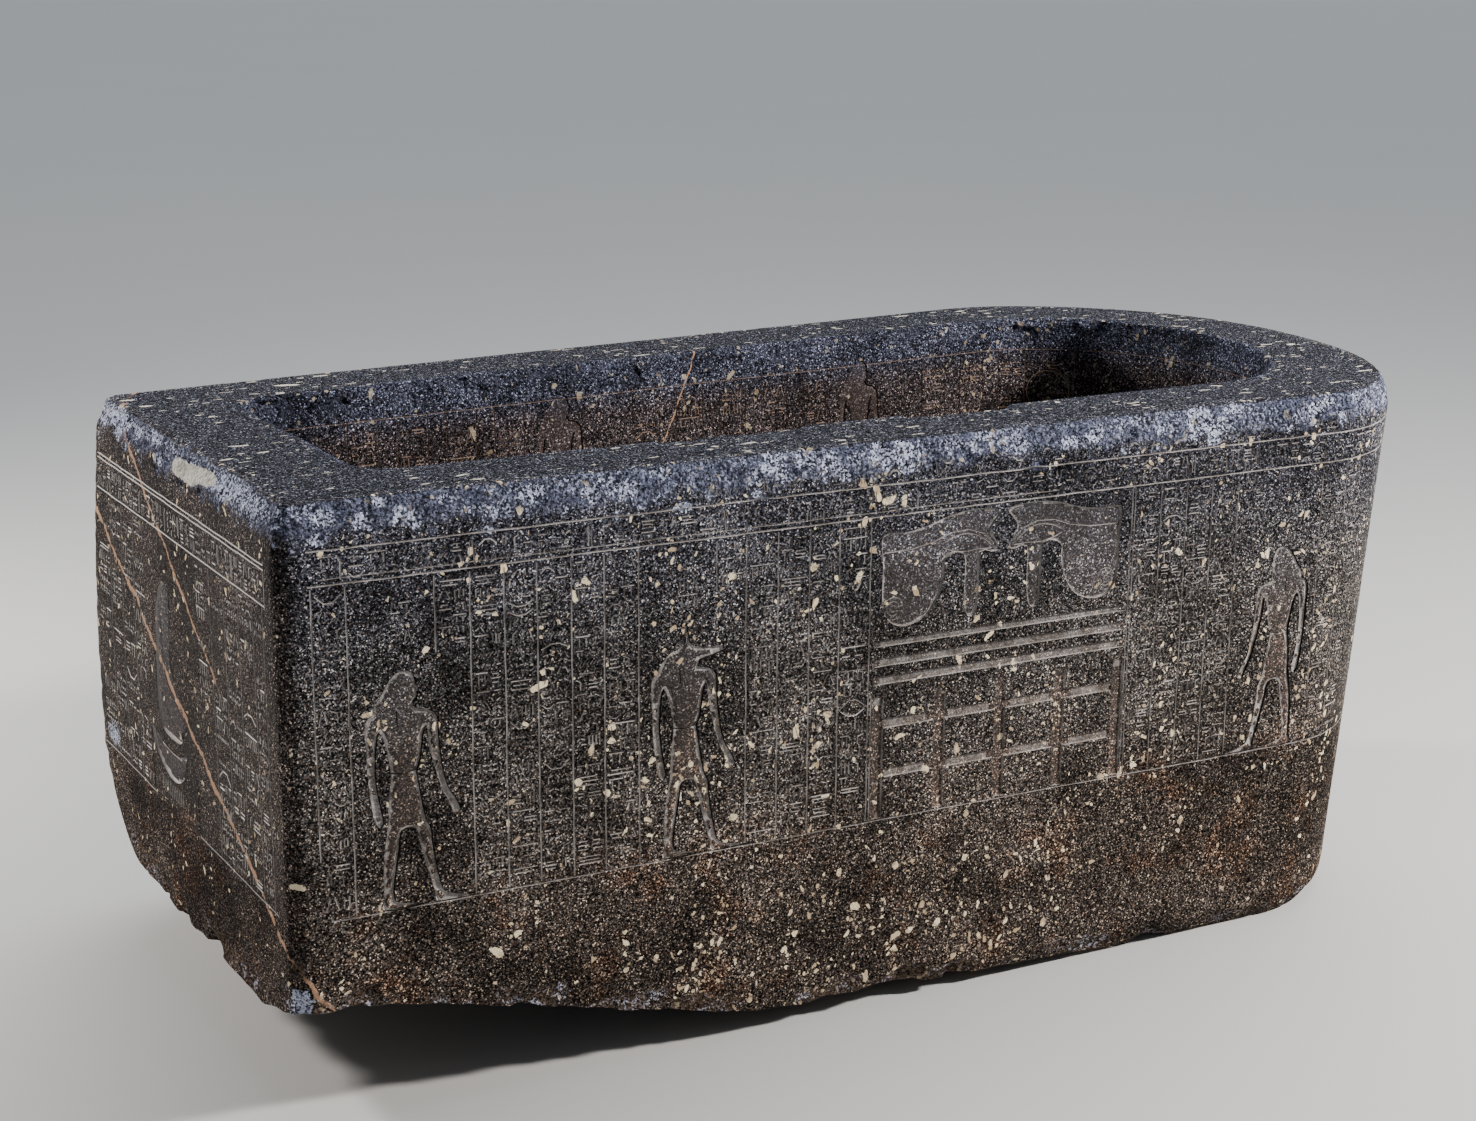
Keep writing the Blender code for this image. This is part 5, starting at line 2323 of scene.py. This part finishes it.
class SpeckledStone:
    """Dark speckled stone: fine salt-and-pepper grains, pale crystals, orange veins, and its wear."""

    grain = 0.0023
    clump = 0.0052
    crystal = 0.0165
    big_crystal = 0.033
    lath = (1.0, 2.5, 3.1)
    sugar_cell = 0.0036
    chip_cell = 1 / 95
    veins = (
        Vein((-1.375, 0.527, -1.0), 1.242, 0.0066), Vein((-1.2, 0.72, -1.0), 0.73, 0.0058, -0.44, 0.70),
        Vein((1.0, 0.0, -0.45), -0.55, 0.0030, 0.12),
    )

    def __init__(self) -> None:
        """Starts the material and reads the place and the marks that the mesh carries."""
        self.tones, self.bands = Palette(), Bands()
        self.graph = Graph("speckled_stone")
        self.place = self.graph.place
        self.x, self.y, self.z = self.place.parts()
        self.at_foot = self.x.step(*self.bands.foot)
        self.middle = self.graph.clouds(self.place, 0.10, 3.0)
        labels = ("cut", "sunk", "broken", "bruise", "rim", "hollow")
        marks = (self.graph.attribute(label) for label in labels)
        self.cut, self.sunk, self.broken, self.bruise, self.rim, self.hollow = marks
        facet = self.graph.cells(self.place, self.sugar_cell)[0].parts()[1]
        self.sugar = (self.graph.clouds(self.place, 0.010, 4.0, 0.85) + facet * 0.5).step(0.50, 1.02)

    def ground(self) -> Wire:
        """The groundmass: dark crystals with grey and a few pale or brown ones."""
        pick = self.graph.cells(self.place, self.grain)[0].parts()[0]
        clump = self.graph.clouds(self.place, self.clump, 3.0, 0.7).step(0.38, 0.66, 0.32, 2.0)
        return self.graph.steps(pick, self.tones.grains).scaled(clump)

    def tinted(self, ground: Wire) -> Wire:
        """Tints the ground: bluer above as painted cool light from overhead, browner below, redder at the
        foot, in light and dark clouds.

        Args:
            ground: The plain groundmass.

        Returns:
            The tinted one.
        """
        graph, tones, bands, z = self.graph, self.tones, self.bands, self.z
        # painted light: the ground turns bluer towards the top, as if cool light fell on it from above
        tint = graph.mix(z.step(*bands.bluer), tones.plain, tones.painted_cool_light_tint)
        tint = graph.mix(z.step(*bands.browner), tint, tones.low_tint)
        tint = graph.mix(self.at_foot * 0.8, tint, tones.foot_tint)
        ground = ground.tinted(tint).scaled(self.middle.step(0.28, 0.72, 0.68, 1.3))
        ground = ground.scaled(graph.clouds(self.place, 0.30, 3.0, 0.6).step(0.34, 0.64, 0.58, 1.20))
        rusty = graph.clouds(self.place, 0.16, 5.0, 0.7).step(0.50, 0.68) * z.step(*bands.rusty)
        ground = graph.mix(rusty, ground, ground.tinted(tones.rust_tint))
        shaded = self.x.step(*bands.shaded_along) * z.step(*bands.shaded_below)
        return ground.scaled(shaded * -0.28 + 1.0)

    def worked(self, plain: Wire, ground: Wire) -> Wire:
        """Lays the pecked fields, the smooth rim and the browner hollow over the ground.

        Args:
            plain: The groundmass before it was tinted.
            ground: The tinted one.

        Returns:
            The colour.
        """
        graph, tones, bands, z = self.graph, self.tones, self.bands, self.z
        pecked = ground.tinted(graph.mix(z.step(*bands.pecked), *tones.pecked_tints))
        pecked = graph.mix(0.22, pecked, tones.pecked_dust)
        pecked = graph.mix(self.at_foot * 0.28, pecked, tones.foot_dust)
        colour = graph.mix(self.sunk, ground, pecked)
        colour = graph.mix(self.rim, colour, graph.mix(0.94, tones.rim_gloss, plain.tinted(tones.rim_tint)))
        inside = colour.tinted(graph.mix(z.step(*bands.hollow), *tones.hollow_tints))
        return graph.mix(self.hollow, colour, inside)

    def crystals(self, place: Wire, size: float, share: Wire) -> tuple[Wire, Wire]:
        """Pale lath-shaped crystals that lie every way in the stone.

        Args:
            place: Where they are read, already warped.
            size: Distance between possible crystals.
            share: How many of those places hold one.

        Returns:
            1 inside a crystal and 0 outside, and a number from 0 to 1 of its own.
        """
        graph, scaled = self.graph, place.scaled(1 / size)
        colour, middle, _ = graph.cells(scaled, 1.0)
        pick, grow, own = colour.parts()
        inputs = {"Vector": graph.vector("SUBTRACT", scaled, middle), "Rotation": colour.scaled(19.0)}
        offset = graph.wire("ShaderNodeVectorRotate", inputs, rotation_type="EULER_XYZ")
        sides = graph.vector("ABSOLUTE", offset).tinted(self.lath)
        reach = graph.vector("LENGTH", sides) * 0.5 + graph.most(*sides.parts()) * 0.5
        away = reach - grow.step(0.0, 1.0, 0.24, 0.62)
        return graph.math("LESS_THAN", pick, share) * away.step(-0.04, 0.02, 1.0, 0.0), own

    def crystal_share(self) -> tuple[Wire, Wire]:
        """Where pale crystals show: small and large ones, densest low on the middle of the front.

        Returns:
            1 inside a crystal and 0 outside, and a number from 0 to 1 of the crystal's own.
        """
        graph, place, x, bands = self.graph, self.place, self.x, self.bands
        leaning = {"Vector": place, "Rotation": (0.0, math.radians(-52), 0.0), "Scale": (3.4, 1.0, 1.0)}
        trail = graph.clouds(graph.wire("ShaderNodeMapping", leaning, vector_type="TEXTURE"), 0.075, 2.0)
        low = self.z.step(*bands.dense_below) * x.step(*bands.dense_from) * x.step(*bands.dense_to)
        dense = low * self.middle.step(0.40, 0.60, 0.05, 0.75)
        dense = dense + graph.clouds(place, 0.34, 2.0).step(0.50, 0.66, 0.0, 0.14)
        dense = dense + trail.step(0.53, 0.64, 0.0, 0.55)
        dense = dense * x.step(*bands.sparse_foot) + 0.03
        warped = graph.shaken(place, 150.0, 0.008)
        drawn_out = graph.wire("ShaderNodeMapping", {"Vector": warped, "Scale": (0.40, 1.5, 1.5)})
        spot = graph.mix(self.rim.step(0.4, 0.6), warped, drawn_out)
        small, own = self.crystals(spot, self.crystal, dense + 0.02)
        big, other = self.crystals(spot, self.big_crystal, dense * 0.8 + 0.006)
        return graph.most(small, big), own * 0.5 + other * 0.5

    def vein_share(self) -> Wire:
        """How much vein there is: warped planes that cut through the block."""
        graph, shares = self.graph, []
        bent = graph.shaken(self.place, 9.0, 0.030)
        ragged = graph.clouds(self.place, 0.020, 3.0, 0.6).step(0.30, 0.62)
        for vein in self.veins:
            size = math.hypot(*vein.normal)
            across = graph.vector("DOT_PRODUCT", bent, tuple(n / size for n in vein.normal))
            away = graph.math("ABSOLUTE", across - vein.place / size)
            share = graph.math("SUBTRACT", 1.0, away / (ragged * vein.width + 1e-4), clamp=True)
            share = share * self.y.step(vein.behind, vein.behind + self.bands.vein_start)
            shares.append(share * self.z.step(vein.above, vein.above + self.bands.vein_rise))
        return graph.most(*shares).step(0.0, 0.45)

    def strewn(self, colour: Wire) -> Wire:
        """Lays the crystals and the veins over a colour.

        Args:
            colour: The stone between them.

        Returns:
            The colour.
        """
        graph, tones, rim = self.graph, self.tones, self.rim
        crystal, own = self.crystal_share()
        pale = graph.mix(rim * 0.6, graph.mix(own.step(0.25, 0.75), *tones.crystals), tones.rim_crystal)
        colour = graph.mix(crystal * (self.hollow * -0.55 + 0.92), colour, pale)
        return graph.mix(self.vein_share() * (rim * -0.60 + 0.68), colour, tones.vein)

    def carved(self, colour: Wire) -> Wire:
        """Lays over a colour the pale chisel cuts, a painted highlight along the feet of field walls, and
        painted shadow on the walls that are marked with negative paleness.

        Args:
            colour: The uncut stone.

        Returns:
            The colour.
        """
        graph, tones, sunk = self.graph, self.tones, self.sunk
        pale = graph.mix(graph.clouds(self.place, 0.05, 2.0).step(0.35, 0.65), *tones.chiselled)
        # the foot's cuts are paler than elsewhere: partly chisel paleness, partly painted highlight where
        # raking light would catch their walls
        pale = graph.mix(self.at_foot * 0.9, pale, tones.foot_cuts_pale_and_lit)
        pale = graph.mix(self.hollow * 0.9, pale, tones.hollow_chiselled)
        pale = graph.mix(self.rim, pale, tones.rim_chiselled)
        # painted highlight: a pale line along the feet of field walls, standing in for their lit rounded
        # edges
        edge = graph.attribute("edge").step(0.36, 0.60, 0.0, 0.80) * sunk
        edge = edge * graph.clouds(self.place, 0.012, 3.0, 0.7).step(0.34, 0.58, 0.35, 1.0)
        colour = graph.mix(edge, colour, pale)
        colour = graph.mix((self.cut * (sunk * -0.35 + 0.95)).clamped(), colour, pale)
        # painted shadow: walls with negative paleness, those of the striding figures, take the shadow
        # colour
        return graph.mix((self.cut * -0.9).clamped(), colour, tones.shadow)

    def broken_open(self, colour: Wire) -> Wire:
        """Lays the broken stone, its pale bruises and the repair mortar over a colour. The upper broken
        stone and the bruises are bluish partly as painted cool highlight from overhead, partly as the pale
        of struck stone.

        Args:
            colour: The whole stone.

        Returns:
            The colour.
        """
        graph, tones, sugar, hollow = self.graph, self.tones, self.sugar, self.hollow
        below, above = graph.mix(sugar, *tones.broken_low), graph.mix(sugar, *tones.broken_high)
        # the upper broken stone is bluer, partly as painted cool highlight
        open_stone = graph.mix(self.z.step(*self.bands.broken), below, above)
        colour = graph.mix(self.broken * (hollow * -0.60 + 0.8), colour, open_stone)
        patchy = graph.clouds(self.place.tinted((0.6, 0.6, 1.5)), 0.060, 9.0, 0.80) * 1.6 - 0.80
        fresh = (self.bruise + patchy + (sugar - 0.50)).step(*self.bands.fresh)
        fresh = fresh * (hollow * -0.75 + 1.0) * graph.most(self.broken, self.bruise).step(0.10, 0.40)
        # bruises: pale struck stone, whose bluish tone is partly painted cool highlight
        colour = graph.mix(fresh, colour, graph.mix(sugar, *tones.bruise_and_cool_highlight))
        filled = (patchy * 0.5 + graph.attribute("plaster")).step(*self.bands.filled)
        return graph.mix(filled, colour, graph.mix(sugar, *tones.mortar))

    def roughness(self) -> Wire:
        """How rough the surface is: roughest below and where it is carved or broken."""
        rough = self.z.step(*self.bands.rough_below) + self.middle.step(0.2, 0.8, -0.06, 0.10)
        marked = self.graph.most(self.cut, self.sunk, self.broken)
        return self.graph.most(rough, marked * 0.78) - self.rim * 0.08

    def pits(self) -> Wire:
        """The fine unevenness of the surface, with small chips where it is broken."""
        graph, place = self.graph, self.place
        pits = graph.clouds(place, 0.02, 3.0) * 1.4 + graph.clouds(place, 0.004, 2.0)
        chips = graph.clouds(place, 0.006, 3.0, 0.7) * 1.6 + graph.cells(place, self.chip_cell)[2]
        height = pits + chips * (self.broken * 2.2)
        return graph.wire("ShaderNodeBump", {"Height": height, "Distance": 0.0018, "Strength": 0.9})

    def make(self) -> bpy.types.Material:
        """The material."""
        plain = self.ground()
        colour = self.strewn(self.worked(plain, self.tinted(plain)))
        self.graph.shader(
            Base_Color=self.broken_open(self.carved(colour)), Roughness=self.roughness(),
            Normal=self.pits(), Specular_IOR_Level=self.rim * -0.005 + 0.015,
        )
        return self.graph.material


class PaleFloor:
    """A plain pale floor with very faint unevenness."""

    colours = ((0.48, 0.48, 0.475), (0.46, 0.46, 0.46))

    def make(self) -> bpy.types.Material:
        """The material."""
        graph = Graph("pale_floor")
        graph.shader(Base_Color=graph.mix(graph.clouds(graph.place, 1.8), *self.colours), Roughness=0.7)
        return graph.material


# ------------------------------------------------------------------------------------------------- studio


@dataclass(frozen=True)
class SoftLight:
    """One large soft lamp."""

    name: str
    spot: Spot
    aim: Spot
    size: float
    power: float
    colour: Colour

    def hang(self) -> None:
        """Adds the lamp and turns it to its aim."""
        bpy.ops.object.light_add(type="AREA", location=self.spot)
        lamp = bpy.context.active_object
        lamp.name = self.name
        lamp.rotation_euler = (Vector(self.aim) - Vector(self.spot)).to_track_quat("-Z", "Y").to_euler()
        lamp.data.size = self.size
        lamp.data.energy = self.power
        lamp.data.color = self.colour


@dataclass(frozen=True)
class Studio:
    """A plain pale floor, soft lamps and the camera."""

    floor_size: float = 400.0
    world_colour: Colour = (0.92, 0.95, 1.0)
    world_strength: float = 0.22
    sky_power: float = 2.0
    sky_width: float = math.radians(45)
    sky_from: Spot = (0.30, 0.28, 0.90)
    sky_colour: Colour = (0.88, 0.94, 1.0)
    lens: float = 59.58
    sensor: float = 36.0
    camera_place: Spot = (-2.683, -4.415, 2.163)
    yaw: float = math.radians(30.03)
    pitch: float = math.radians(15.17)
    roll: float = math.radians(0.38)
    lights: tuple[SoftLight, ...] = (
        SoftLight("key", (4.9, -3.6, 4.1), (0.1, -0.6, 0.7), 0.7, 1120.0, (1.0, 0.94, 0.89)),
        SoftLight("side", (-3.5, 3.4, 2.8), (-1.37, 0.0, 0.7), 0.6, 330.0, (1.0, 0.94, 0.88)),
    )

    def lay_floor(self) -> bpy.types.Object:
        """The floor, level with the foot of the block."""
        bpy.ops.mesh.primitive_plane_add(size=self.floor_size, location=(0, 0, 0))
        floor = bpy.context.active_object
        floor.name = "studio_floor"
        floor.data.materials.append(PaleFloor().make())
        return floor

    def light(self) -> None:
        """The lamps and the pale surroundings."""
        for lamp in self.lights:
            lamp.hang()
        bpy.ops.object.light_add(type="SUN", location=(0, 0, 6))
        sky = bpy.context.active_object
        sky.name = "sky_panel"
        sky.rotation_euler = Vector(self.sky_from).to_track_quat("Z", "Y").to_euler()
        sky.data.energy, sky.data.angle, sky.data.color = self.sky_power, self.sky_width, self.sky_colour
        world = bpy.data.worlds.new("studio")
        world.use_nodes = True
        background = world.node_tree.nodes["Background"]
        background.inputs["Color"].default_value = (*self.world_colour, 1)
        background.inputs["Strength"].default_value = self.world_strength
        bpy.context.scene.world = world

    def set_camera(self) -> None:
        """The camera, turned by its heading, its tilt and its lean."""
        forward = Vector((
            math.sin(self.yaw) * math.cos(self.pitch), math.cos(self.yaw) * math.cos(self.pitch),
            -math.sin(self.pitch),
        ))
        right = forward.cross(Vector((0, 0, 1))).normalized()
        up = right.cross(forward)
        lean = Matrix.Rotation(-self.roll, 3, forward)
        right, up = lean @ right, lean @ up
        bpy.ops.object.camera_add(location=self.camera_place)
        camera = bpy.context.active_object
        camera.name = "studio_camera"
        turned = Matrix((right, up, -forward)).transposed()
        camera.rotation_euler = turned.to_euler()
        camera.data.lens = self.lens
        camera.data.sensor_width = self.sensor
        camera.data.dof.use_dof = False
        bpy.context.scene.camera = camera

    def build(self) -> bpy.types.Object:
        """Sets everything up.

        Returns:
            The floor.
        """
        floor = self.lay_floor()
        self.light()
        self.set_camera()
        return floor


def main() -> None:
    """Builds the chest and its studio, and names what each piece is."""
    logging.basicConfig(level=logging.INFO, format="%(name)s: %(message)s")
    bpy.ops.object.select_all(action="DESELECT")
    chest = StoneChest().build()
    chest.data.materials.append(SpeckledStone().make())
    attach(chest, "root")
    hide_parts(NODE)
    LOG.info("chest: %d triangles", len(chest.data.polygons))
    floor = Studio().build()


if __name__ == "__main__":
    main()
